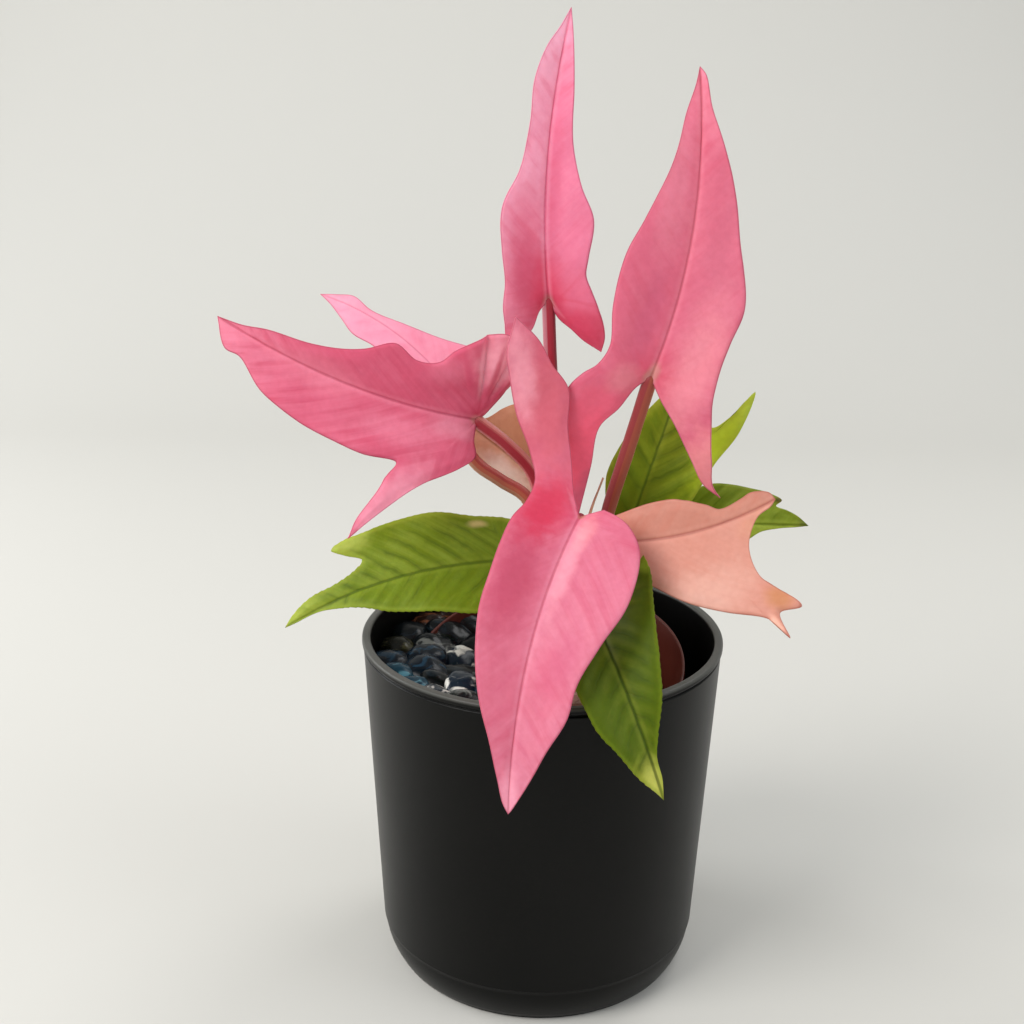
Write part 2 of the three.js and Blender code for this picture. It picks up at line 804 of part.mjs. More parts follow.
function soilProfile(grow = 0) {
  const p = NURSERY;
  const bottom = p.height - p.wall - GAP;
  return [
    [0, -bottom],
    [nurseryInside(bottom) - GAP + grow, -bottom],
    [nurseryInside(p.soilBelowRim) - GAP + grow, grow - p.soilBelowRim - p.soilDip],
    [nurseryInside(p.soilBelowRim) * p.soilFlat, grow - p.soilBelowRim],
    [0, grow - p.soilBelowRim],
  ];
}

// Puts a geometry made about the nursery pot's own axis where that pot leans.
function leaned(geometry) {
  const turn = new THREE.Euler(degrees(NURSERY.leanFront), degrees(NURSERY.leanSide), 0);
  const place = new THREE.Matrix4().makeRotationFromEuler(turn);
  place.setPosition(...NURSERY.rimCentre);
  return geometry.applyMatrix4(place);
}

function nurseryMesh() {
  return piece("nursery_pot", leaned(turned(nurseryProfile(), NURSERY.sides)), COLOURS.maroon);
}

function soilMesh() {
  let made = solid(leaned(turned(soilProfile(), NURSERY.sides)));
  const stalks = [...LEAVES.map(petioleStalk), SHOOT];
  for (const stalk of stalks) made = made.subtract(solid(stalkGeometry(stalk, GAP)));
  return piece("soil", geometryOf(made), COLOURS.soil);
}

// ---- Pebbles ----

function stoneGeometry(centre, random) {
  const geometry = new THREE.OctahedronGeometry(PEBBLES.size, 1);
  const stretch = [1.05 + 0.3 * random(), 0.85 + 0.3 * random(), 0.62 + 0.2 * random()];
  const turn = new THREE.Euler(0.7 * random(), 0.7 * random(), 6.3 * random());
  geometry.scale(...stretch);
  geometry.applyMatrix4(new THREE.Matrix4().makeRotationFromEuler(turn));
  geometry.translate(...centre);
  return geometry;
}

function stoneCentres() {
  const centres = [];
  for (const ring of PEBBLES.rings) {
    const sweep = degrees(ring.to - ring.from);
    const count = Math.round((ring.radius * sweep) / PEBBLES.spacing);
    for (let i = 0; i <= count; i++) {
      const bearing = degrees(ring.from) + (sweep * i) / count;
      const frontness = clamp(-Math.sin(bearing), 0, 1);
      const height = ring.height + PEBBLES.frontRise * frontness ** 2;
      centres.push([ring.radius * Math.cos(bearing), ring.radius * Math.sin(bearing), height]);
    }
  }
  return centres;
}

// The cachepot's inside as a solid, short of its wall by the gap.
function potInside(top) {
  const p = CACHEPOT;
  const innerFoot = p.footTopRadius - p.wall - GAP;
  const slope = (p.rimRadius - p.footTopRadius) / (p.height - p.footHeight);
  const profile = [
    [0, p.floor + GAP],
    [p.standRadius - p.wall - 2 * GAP, p.floor + GAP],
    [innerFoot - GAP, p.footHeight],
    [innerFoot - 2 * GAP + slope * (top - p.footHeight), top],
    [0, top],
  ];
  return solid(turned(profile, CACHEPOT.sides));
}

function boxSolid(from, to) {
  const size = to.map((value, i) => value - from[i]);
  const geometry = new THREE.BoxGeometry(...size);
  geometry.translate(...from.map((value, i) => value + size[i] / 2));
  return solid(geometry);
}

// The part of the heap's filling that lies left of an X, from the bed up.
function fillLeftOf(right) {
  const reach = CACHEPOT.rimRadius;
  const bottom = PEBBLES.bedTop - 5;
  const frontTop = PEBBLES.fillTop + PEBBLES.frontRise;
  const low = boxSolid([-reach, -reach, bottom], [right, reach, PEBBLES.fillTop]);
  const high = boxSolid([-reach, -reach, bottom], [right, PEBBLES.frontFrom, frontTop]);
  return potInside(CACHEPOT.height).intersect(low.add(high));
}

function pebblesMesh() {
  const nurserySpace = solid(leaned(turned(nurseryProfile(GAP), NURSERY.sides)));
  const soilSpace = solid(leaned(turned(soilProfile(GAP), NURSERY.sides)));
  const outer = [...nurseryProfile(GAP).slice(0, 5), [0, GAP]];
  const cupSpace = solid(leaned(turned(outer, NURSERY.sides)));
  const outsideFill = fillLeftOf(PEBBLES.fillRight).subtract(cupSpace);
  let made = potInside(PEBBLES.bedTop).add(outsideFill).add(fillLeftOf(PEBBLES.insideRight));
  const random = randomStream(PEBBLES.seed);
  for (const centre of stoneCentres()) made = made.add(solid(stoneGeometry(centre, random)));
  made = made.intersect(potInside(CACHEPOT.height)).subtract(nurserySpace).subtract(soilSpace);
  const bodies = made.decompose().sort((a, b) => b.volume() - a.volume());
  return piece("pebbles", geometryOf(bodies[0]), COLOURS.stone);
}

// ---- The whole plant ----

const plant = new THREE.Group();
plant.add(cachepotMesh());
plant.add(pebblesMesh());
plant.add(nurseryMesh());
plant.add(soilMesh());
plant.add(piece("young_leaf", stalkGeometry(SHOOT), COLOURS.youngLeaf));
for (const leaf of LEAVES) {
  plant.add(petioleMesh(leaf));
  plant.add(bladeMesh(leaf));
}

export default plant;
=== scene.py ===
"""Looks of a potted arrowhead plant: pink, salmon and green leaves above a matt black cachepot.

Every piece is made in metres in the frame of the fixed model, with its place in its mesh. Sizes in
the classes and tables below are millimetres.
"""

import logging
import math
import random
from dataclasses import dataclass, replace
from enum import Enum
from functools import cached_property
from itertools import accumulate
from typing import Callable, Sequence, Union

import bmesh
import bpy
from mathutils import Euler, Matrix, Vector, kdtree, noise


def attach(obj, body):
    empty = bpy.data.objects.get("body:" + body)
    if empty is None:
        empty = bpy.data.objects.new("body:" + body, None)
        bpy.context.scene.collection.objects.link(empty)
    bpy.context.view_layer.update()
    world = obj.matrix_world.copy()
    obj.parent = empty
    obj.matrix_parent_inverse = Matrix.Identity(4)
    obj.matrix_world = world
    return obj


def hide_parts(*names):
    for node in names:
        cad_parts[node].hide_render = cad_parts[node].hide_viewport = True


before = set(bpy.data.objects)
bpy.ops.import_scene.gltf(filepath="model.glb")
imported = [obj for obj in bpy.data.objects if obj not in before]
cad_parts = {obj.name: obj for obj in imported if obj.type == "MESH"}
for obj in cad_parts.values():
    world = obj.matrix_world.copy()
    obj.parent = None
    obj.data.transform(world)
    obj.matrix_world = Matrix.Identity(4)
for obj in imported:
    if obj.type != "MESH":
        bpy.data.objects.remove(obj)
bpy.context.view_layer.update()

log = logging.getLogger("arrowhead_plant")

MM = 0.001
BODY = "root"
UP = Vector((0.0, 0.0, 1.0))
WELD = 3e-6  # Metres within which vertices are one.
FLARE_BAND = (88.0, 104.0)  # Heights between which a sheath narrows to its stalk.
Triple = tuple[float, float, float]
Form = bmesh.types.BMesh
Output = bpy.types.NodeSocket
Socket = Union[Output, float, Sequence[float]]
Paint = Union[Socket, int]


# ---- Numbers and curves ----


def lerp(a: float, b: float, share: float) -> float:
    """Returns the number that lies share of the way from a to b."""
    return a + (b - a) * share


def smooth(value: float, low: float = 0.0, high: float = 1.0) -> float:
    """Returns 0 below low, 1 above high and an S-curve between them."""
    share = min(max((value - low) / (high - low), 0.0), 1.0)
    return share * share * (3.0 - 2.0 * share)


def linear_colour(code: int) -> tuple[float, float, float, float]:
    """Turns a display colour into the shader's linear one.

    Args:
        code: the colour as 0xRRGGBB.

    Returns:
        Red, green, blue and an alpha of 1.
    """
    parts = [((code >> shift) & 255) / 255.0 for shift in (16, 8, 0)]
    red, green, blue = (p / 12.92 if p <= 0.04045 else ((p + 0.055) / 1.055) ** 2.4 for p in parts)
    return (red, green, blue, 1.0)


def running_lengths(points: Sequence[Vector]) -> list[float]:
    """Returns how far each point is from the first along the line through them."""
    return list(accumulate(((b - a).length for a, b in zip(points, points[1:])), initial=0.0))


class SmoothRoute:
    """A centripetal Catmull-Rom curve through a few points."""

    TOUCHING = 1e-4
    FINENESS = 6

    def __init__(self, points: Sequence[Sequence[float]]) -> None:
        """Takes the points, two or more, each of three numbers."""
        self.points = [Vector(p) for p in points]

    def at(self, share: float) -> Vector:
        """Finds a point of the curve.

        Args:
            share: place along the curve, from 0 to 1, counted in equal steps from point to point.

        Returns:
            The point.
        """
        last = len(self.points) - 1
        place = share * last
        start = min(int(place), last - 1)
        p1, p2 = self.points[start], self.points[start + 1]
        p0 = self.points[start - 1] if start > 0 else 2.0 * p1 - p2
        p3 = self.points[start + 2] if start + 2 <= last else 2.0 * p2 - p1
        gap = max(math.sqrt((p2 - p1).length), self.TOUCHING)
        before, after = (math.sqrt((b - a).length) for a, b in ((p0, p1), (p2, p3)))
        before = gap if before < self.TOUCHING else before
        after = gap if after < self.TOUCHING else after
        leave = ((p1 - p0) / before - (p2 - p0) / (before + gap) + (p2 - p1) / gap) * gap
        arrive = ((p2 - p1) / gap - (p3 - p1) / (gap + after) + (p3 - p2) / after) * gap
        t = place - start
        return (
            p1 + leave * t + (3.0 * (p2 - p1) - 2.0 * leave - arrive) * t**2
            + (2.0 * (p1 - p2) + leave + arrive) * t**3
        )

    def spread(self, count: int) -> list[Vector]:
        """Returns count + 1 points evenly spaced along the curve's length."""
        samples = count * self.FINENESS
        fine = [self.at(i / samples) for i in range(samples + 1)]
        lengths = running_lengths(fine)
        result, index = [], 0
        for step in range(count + 1):
            wanted = lengths[-1] * step / count
            while index < len(fine) - 2 and lengths[index + 1] < wanted:
                index += 1
            span = lengths[index + 1] - lengths[index]
            result.append(fine[index].lerp(fine[index + 1], min((wanted - lengths[index]) / span, 1.0)))
        return result


# ---- Shader sketches ----


class ShaderSketch:
    """Wires the nodes of one procedural material."""

    def __init__(self, name: str) -> None:
        """Starts a material of that name with one Principled shader."""
        self.material = bpy.data.materials.new(name)
        self.material.use_nodes = True
        self.tree = self.material.node_tree
        self.shader = self.tree.nodes["Principled BSDF"]

    def node(self, kind: str, **settings: object) -> bpy.types.Node:
        """Adds a node of a kind such as TexNoise and sets its properties."""
        made = self.tree.nodes.new("ShaderNode" + kind)
        for key, value in settings.items():
            setattr(made, key, value)
        return made

    def feed(self, socket: Output, value: Socket) -> None:
        """Links another node's output to an input, or sets the input's own value."""
        if isinstance(value, Output):
            self.tree.links.new(value, socket)
        else:
            socket.default_value = value

    def maths(self, operation: str, *values: Socket, clamp: bool = False) -> Output:
        """Returns the result of a Math node fed with the values."""
        made = self.node("Math", operation=operation, use_clamp=clamp)
        for socket, value in zip(made.inputs, values):
            self.feed(socket, value)
        return made.outputs[0]

    def ramp(self, value: Socket, low: float, high: float, top: float = 1.0) -> Output:
        """Returns 0 below low and top above high, with an S-curve between them.

        Args:
            value: what is measured.
            low: where the rise starts; above high it falls instead.
            high: where the rise ends.
            top: the most that comes out.
        """
        made = self.node("MapRange", interpolation_type="SMOOTHSTEP")
        self.feed(made.inputs["Value"], value)
        numbers = (low, high, 0.0, top) if high > low else (high, low, top, 0.0)
        for name, number in zip(("From Min", "From Max", "To Min", "To Max"), numbers):
            made.inputs[name].default_value = number
        return made.outputs["Result"]

    def total(self, base: Socket, *terms: tuple[Socket, float]) -> Output:
        """Returns a base plus each value times its weight."""
        for value, weight in terms:
            base = self.maths("MULTIPLY_ADD", value, weight, base)
        return base

    def times(self, a: Socket, b: Socket) -> Output:
        """Returns the product of two numbers."""
        return self.maths("MULTIPLY", a, b)

    def mix(self, share: Socket, a: Paint, b: Paint, blend: str = "MIX") -> Output:
        """Returns two colours mixed by a share, each a socket, linear or 0xRRGGBB."""
        made = self.node("Mix", data_type="RGBA", blend_type=blend, clamp_factor=True)
        self.feed(made.inputs["Factor"], share)
        for socket, colour in zip(made.inputs[6:8], (a, b)):
            self.feed(socket, linear_colour(colour) if isinstance(colour, int) else colour)
        return made.outputs[2]

    def noise(self, where: Socket, scale: float, detail: float = 2.0, twist: float = 0.0) -> Output:
        """Returns a noise of about scale bumps a unit, from 0 to 1."""
        made = self.node("TexNoise")
        self.feed(made.inputs["Vector"], where)
        made.inputs["Scale"].default_value = scale
        made.inputs["Detail"].default_value = detail
        made.inputs["Distortion"].default_value = twist
        return made.outputs["Fac"]

    def cells(self, where: Socket, scale: float) -> Output:
        """Returns the distance to the nearest wall of a net of cells."""
        made = self.node("TexVoronoi", feature="DISTANCE_TO_EDGE")
        self.feed(made.inputs["Vector"], where)
        made.inputs["Scale"].default_value = scale
        return made.outputs["Distance"]

    def place(self) -> Output:
        """Returns the point's place in the piece's own frame."""
        return self.node("TexCoord").outputs["Object"]

    def stored(self, name: str) -> Output:
        """Returns the vector that the mesh stores at its points under a name."""
        return self.node("Attribute", attribute_name=name).outputs["Vector"]

    def parts(self, vector: Socket) -> list[Output]:
        """Returns a vector's three numbers."""
        made = self.node("SeparateXYZ")
        self.feed(made.inputs[0], vector)
        return list(made.outputs)

    def dot(self, vector: Socket, axis: Sequence[float]) -> Output:
        """Returns a vector's measure along an axis."""
        made = self.node("VectorMath", operation="DOT_PRODUCT")
        self.feed(made.inputs[0], vector)
        self.feed(made.inputs[1], axis)
        return made.outputs["Value"]

    def stretched(self, where: Socket, factors: Sequence[float]) -> Output:
        """Returns a vector with each of its numbers scaled."""
        made = self.node("Mapping")
        self.feed(made.inputs["Vector"], where)
        made.inputs["Scale"].default_value = factors
        return made.outputs[0]

    def relief(self, height: Socket, strength: float, depth: float) -> None:
        """Bends the shading by a height map, depth metres deep."""
        made = self.node("Bump")
        self.feed(made.inputs["Height"], height)
        made.inputs["Strength"].default_value = strength
        made.inputs["Distance"].default_value = depth
        self.tree.links.new(made.outputs[0], self.shader.inputs["Normal"])

    def dress(self, **values: Socket) -> None:
        """Sets inputs of the shader by name, with _ for a space."""
        for key, value in values.items():
            self.feed(self.shader.inputs[key.replace("_", " ")], value)


# ---- Making pieces ----


def in_scene(name: str, data: bpy.types.ID) -> bpy.types.Object:
    """Returns a new object for a mesh, camera or light, linked into the scene."""
    made = bpy.data.objects.new(name, data)
    bpy.context.scene.collection.objects.link(made)
    return made


def smooth_object(name: str, bm: Form, materials: Sequence[bpy.types.Material]) -> bpy.types.Object:
    """Turns a bmesh, which is freed, into a smooth-shaded object with the materials."""
    for face in bm.faces:
        face.smooth = True
    mesh = bpy.data.meshes.new(name)
    bm.to_mesh(mesh)
    bm.free()
    for material in materials:
        mesh.materials.append(material)
    return in_scene(name, mesh)


def ready(
    name: str,
    bm: Form,
    materials: Sequence[bpy.types.Material],
    nodes: Sequence[str],
) -> bpy.types.Object:
    """Turns a finished bmesh into a piece on the model's body.

    Args:
        name: the piece's name.
        bm: its mesh, in metres; it is freed.
        materials: the finishes, by face index.
        nodes: the model's nodes that the piece stands for.

    Returns:
        The piece's object.
    """
    piece = smooth_object(name, bm, materials)
    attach(piece, BODY)
    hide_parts(*nodes)
    log.info("%s: %d faces for %s", name, len(piece.data.polygons), ", ".join(nodes))
    return piece


def rounded(profile: Sequence[Sequence[float]]) -> list[Vector]:
    """Rounds the corners of a profile, with a short flat on each side of a rounding.

    Args:
        profile: (radius, height, cut) corners, from the axis and back to it. The cut is how far the
            corner is cut back, 0 to keep it sharp.

    Returns:
        The points of the rounded profile, with x as radius and z as height.
    """
    corners = [Vector((radius, 0.0, height)) for radius, height, _ in profile]
    result = [corners[0]]
    for before, corner, after, (_, _, cut) in zip(corners, corners[1:], corners[2:], profile[1:]):
        back, onward = before - corner, after - corner
        cut = min(cut, back.length * 0.45, onward.length * 0.45)
        if cut <= 0.0:
            result.append(corner)
            continue
        start, end = corner + back.normalized() * cut, corner + onward.normalized() * cut
        result.append(start + back.normalized() * min(cut, back.length * 0.05))
        for t in (0.0, 0.25, 0.5, 0.75, 1.0):
            result.append(start.lerp(corner, t).lerp(corner.lerp(end, t), t))
        result.append(end + onward.normalized() * min(cut, onward.length * 0.05))
    result.append(corners[-1])
    return result


def turned(profile: Sequence[Vector], steps: int) -> Form:
    """Spins a profile of millimetres into a closed shell about Z, in metres."""
    bm = bmesh.new()
    points = [bm.verts.new(p * MM) for p in profile]
    rims = [bm.edges.new(pair) for pair in zip(points, points[1:])]
    bmesh.ops.spin(
        bm, geom=points + rims, cent=(0, 0, 0), axis=UP, dvec=(0, 0, 0), angle=2 * math.pi,
        steps=steps, use_merge=True, use_duplicate=False,
    )
    bmesh.ops.remove_doubles(bm, verts=bm.verts, dist=WELD)
    bmesh.ops.recalc_face_normals(bm, faces=bm.faces)
    return bm


def wrapped_tube(centres: Sequence[Vector], radii: Sequence[float], sides: int) -> Form:
    """Wraps a grid round a route into a closed tube that stores its turn and length as "stalk".

    Args:
        centres: the route's points, in millimetres.
        radii: the tube's radius at each point.
        sides: faces round the tube.

    Returns:
        The mesh, in metres, with the lengths stored in decimetres.
    """
    bm = bmesh.new()
    stalk = bm.verts.layers.float_vector.new("stalk")
    lengths = running_lengths(centres)
    rows = len(centres) - 1
    tangents = [(centres[min(i + 1, rows)] - centres[max(i - 1, 0)]).normalized() for i in range(rows + 1)]
    right, rights = Vector((1.0, 0.0, 0.0)), []
    for tangent in tangents:
        right = (right - tangent * right.dot(tangent)).normalized()
        rights.append(right)
    for vert in bmesh.ops.create_grid(bm, x_segments=sides, y_segments=rows, size=1.0)["verts"]:
        turn = (vert.co.x + 1.0) * math.pi
        row = round((vert.co.y + 1.0) / 2.0 * rows)
        ahead = rights[row].cross(tangents[row])
        spoke = rights[row] * math.cos(turn) + ahead * math.sin(turn)
        vert.co = (centres[row] + spoke * radii[row]) * MM
        vert[stalk] = (math.cos(turn), math.sin(turn), lengths[row] * 0.01)
    bmesh.ops.remove_doubles(bm, verts=bm.verts, dist=WELD)
    bmesh.ops.holes_fill(bm, edges=[e for e in bm.edges if e.is_boundary], sides=0)
    bmesh.ops.recalc_face_normals(bm, faces=bm.faces)
    return bm


# ---- Leaf shapes ----


class LeafTint(Enum):
    """The colour families of the blades."""

    PINK = "leaf_pink"
    ROSE = "leaf_rose"
    SALMON = "leaf_salmon"
    GREEN = "leaf_green"


class StalkTint(Enum):
    """The colour families of the petioles."""

    RED = "stalk_red"
    BROWN = "stalk_brown"
    GREEN = "stalk_green"


@dataclass(frozen=True)
class StalkShape:
    """A petiole's route from the soil to its blade."""

    tint: StalkTint
    radius: float
    root: tuple[float, float]
    via: tuple[Triple, ...]


@dataclass(frozen=True)
class LeafFrame:
    """A blade's own axes: along the midrib, to its left and up from its face."""

    junction: Vector
    length: float
    along: Vector
    up: Vector
    left: Vector


@dataclass(frozen=True)
class Rib:
    """A flat line across half a blade, from the midrib or the lobe's inner edge to the margin."""

    root: Vector
    edge: Vector

    def unfolded(self, before: "Rib", left: bool) -> "Rib":
        """Returns the rib with an end that lies across the rib before it moved back onto that rib.

        Args:
            before: the rib next to it, nearer the leaf's tip.
            left: whether they are in the left half.
        """
        along = (before.edge - before.root).normalized()
        ends = []
        for old, new in ((before.root, self.root), (before.edge, self.edge)):
            step = new - old
            behind = along.x * step.y - along.y * step.x
            crossed = behind < 0.0 if left else behind > 0.0
            ends.append(old + along * step.dot(along) if crossed else new)
        return Rib(*ends)


@dataclass(frozen=True)
class LeafShape:
    """A flat arrowhead outline laid on a bent surface.

    In the outline x runs along the midrib from the junction to the tip, and y to the leaf's left. A
    station is (midrib x, left margin x, y, right margin x, y). A lobe row behind the junction is
    (inner edge x, y, outer edge x, y), and the last one is the lobe's tip. fold is how far each half
    rises, in degrees, at the lobe, the junction and the tip, left and then right.
    """

    name: str
    tint: LeafTint
    stalk: StalkShape
    junction: Triple
    tip: Triple
    facing: Triple
    stations: tuple[tuple[float, ...], ...]
    left_lobe: tuple[tuple[float, ...], ...]
    right_lobe: tuple[tuple[float, ...], ...]
    fold: tuple[Triple, Triple] = ((5, 8, 10), (5, 8, 10))
    arch: float = 3.0
    bow: float = 0.0
    lobe_reach: float = 25.0
    lobe_drop: tuple[float, float] = (0.0, 0.0)

    @cached_property
    def frame(self) -> LeafFrame:
        """The blade's axes and length."""
        junction = Vector(self.junction)
        along = Vector(self.tip) - junction
        length = along.length
        along = along / length
        up = Vector(self.facing)
        up = (up - along * up.dot(along)).normalized()
        return LeafFrame(junction, length, along, up, up.cross(along))

    def point(self, x: float, y: float) -> Vector:
        """Returns the point of the bent surface that the outline's (x, y) comes to."""
        axes = self.frame
        t = x / axes.length
        behind = max(-x / self.lobe_reach, 0.0)
        half = 0 if y >= 0 else 1
        at_lobe, at_junction, at_tip = self.fold[half]
        rise = at_junction + (at_tip - at_junction) * smooth(t) + (at_lobe - at_junction) * smooth(behind)
        bend = 4.0 * t * (1.0 - t) if t > 0 else 4.0 * t
        angle = math.radians(rise)
        sideways = y * math.cos(angle) + self.bow * bend
        upwards = abs(y) * math.sin(angle) + self.arch * bend - self.lobe_drop[half] * behind**2
        return axes.junction + axes.along * x + axes.left * sideways + axes.up * upwards

    def lobe(self, left: bool) -> tuple[tuple[float, ...], ...]:
        """Returns the rows of one lobe."""
        return self.left_lobe if left else self.right_lobe

    def half_ribs(self, left: bool) -> list[Rib]:
        """Returns the ribs of one half, from the tip back to the lobe's end."""
        at = 1 if left else 3
        tip = Vector((self.frame.length, 0.0, 0.0))
        lobe_tip = Vector((*self.lobe(left)[-1], 0.0))
        ribs = [Rib(tip, tip)]
        ribs += [Rib(Vector((s[0], 0, 0)), Vector((s[at], s[at + 1], 0))) for s in self.stations]
        ribs += [Rib(Vector((r[0], r[1], 0)), Vector((r[2], r[3], 0))) for r in self.lobe(left)[:-1]]
        return ribs + [Rib(lobe_tip, lobe_tip)]

    def fine_ribs(self, left: bool, spans: int) -> list[Rib]:
        """Returns spans ribs for each of half_ribs, on smooth margins."""
        ribs = self.half_ribs(left)
        last_on_midrib = len(self.stations)
        count = len(ribs) - 1
        edges = SmoothRoute([rib.edge for rib in ribs])
        lobe_roots = SmoothRoute([rib.root for rib in ribs[last_on_midrib:]])
        fine = []
        for row in range(count * spans + 1):
            place = row / spans
            start = min(int(place), count - 1)
            root = ribs[start].root.lerp(ribs[start + 1].root, place - start)
            if place > last_on_midrib:
                root = lobe_roots.at((place - last_on_midrib) / (count - last_on_midrib))
            rib = Rib(root, edges.at(place / count))
            fine.append(rib.unfolded(fine[-1], left) if fine else rib)
        return fine


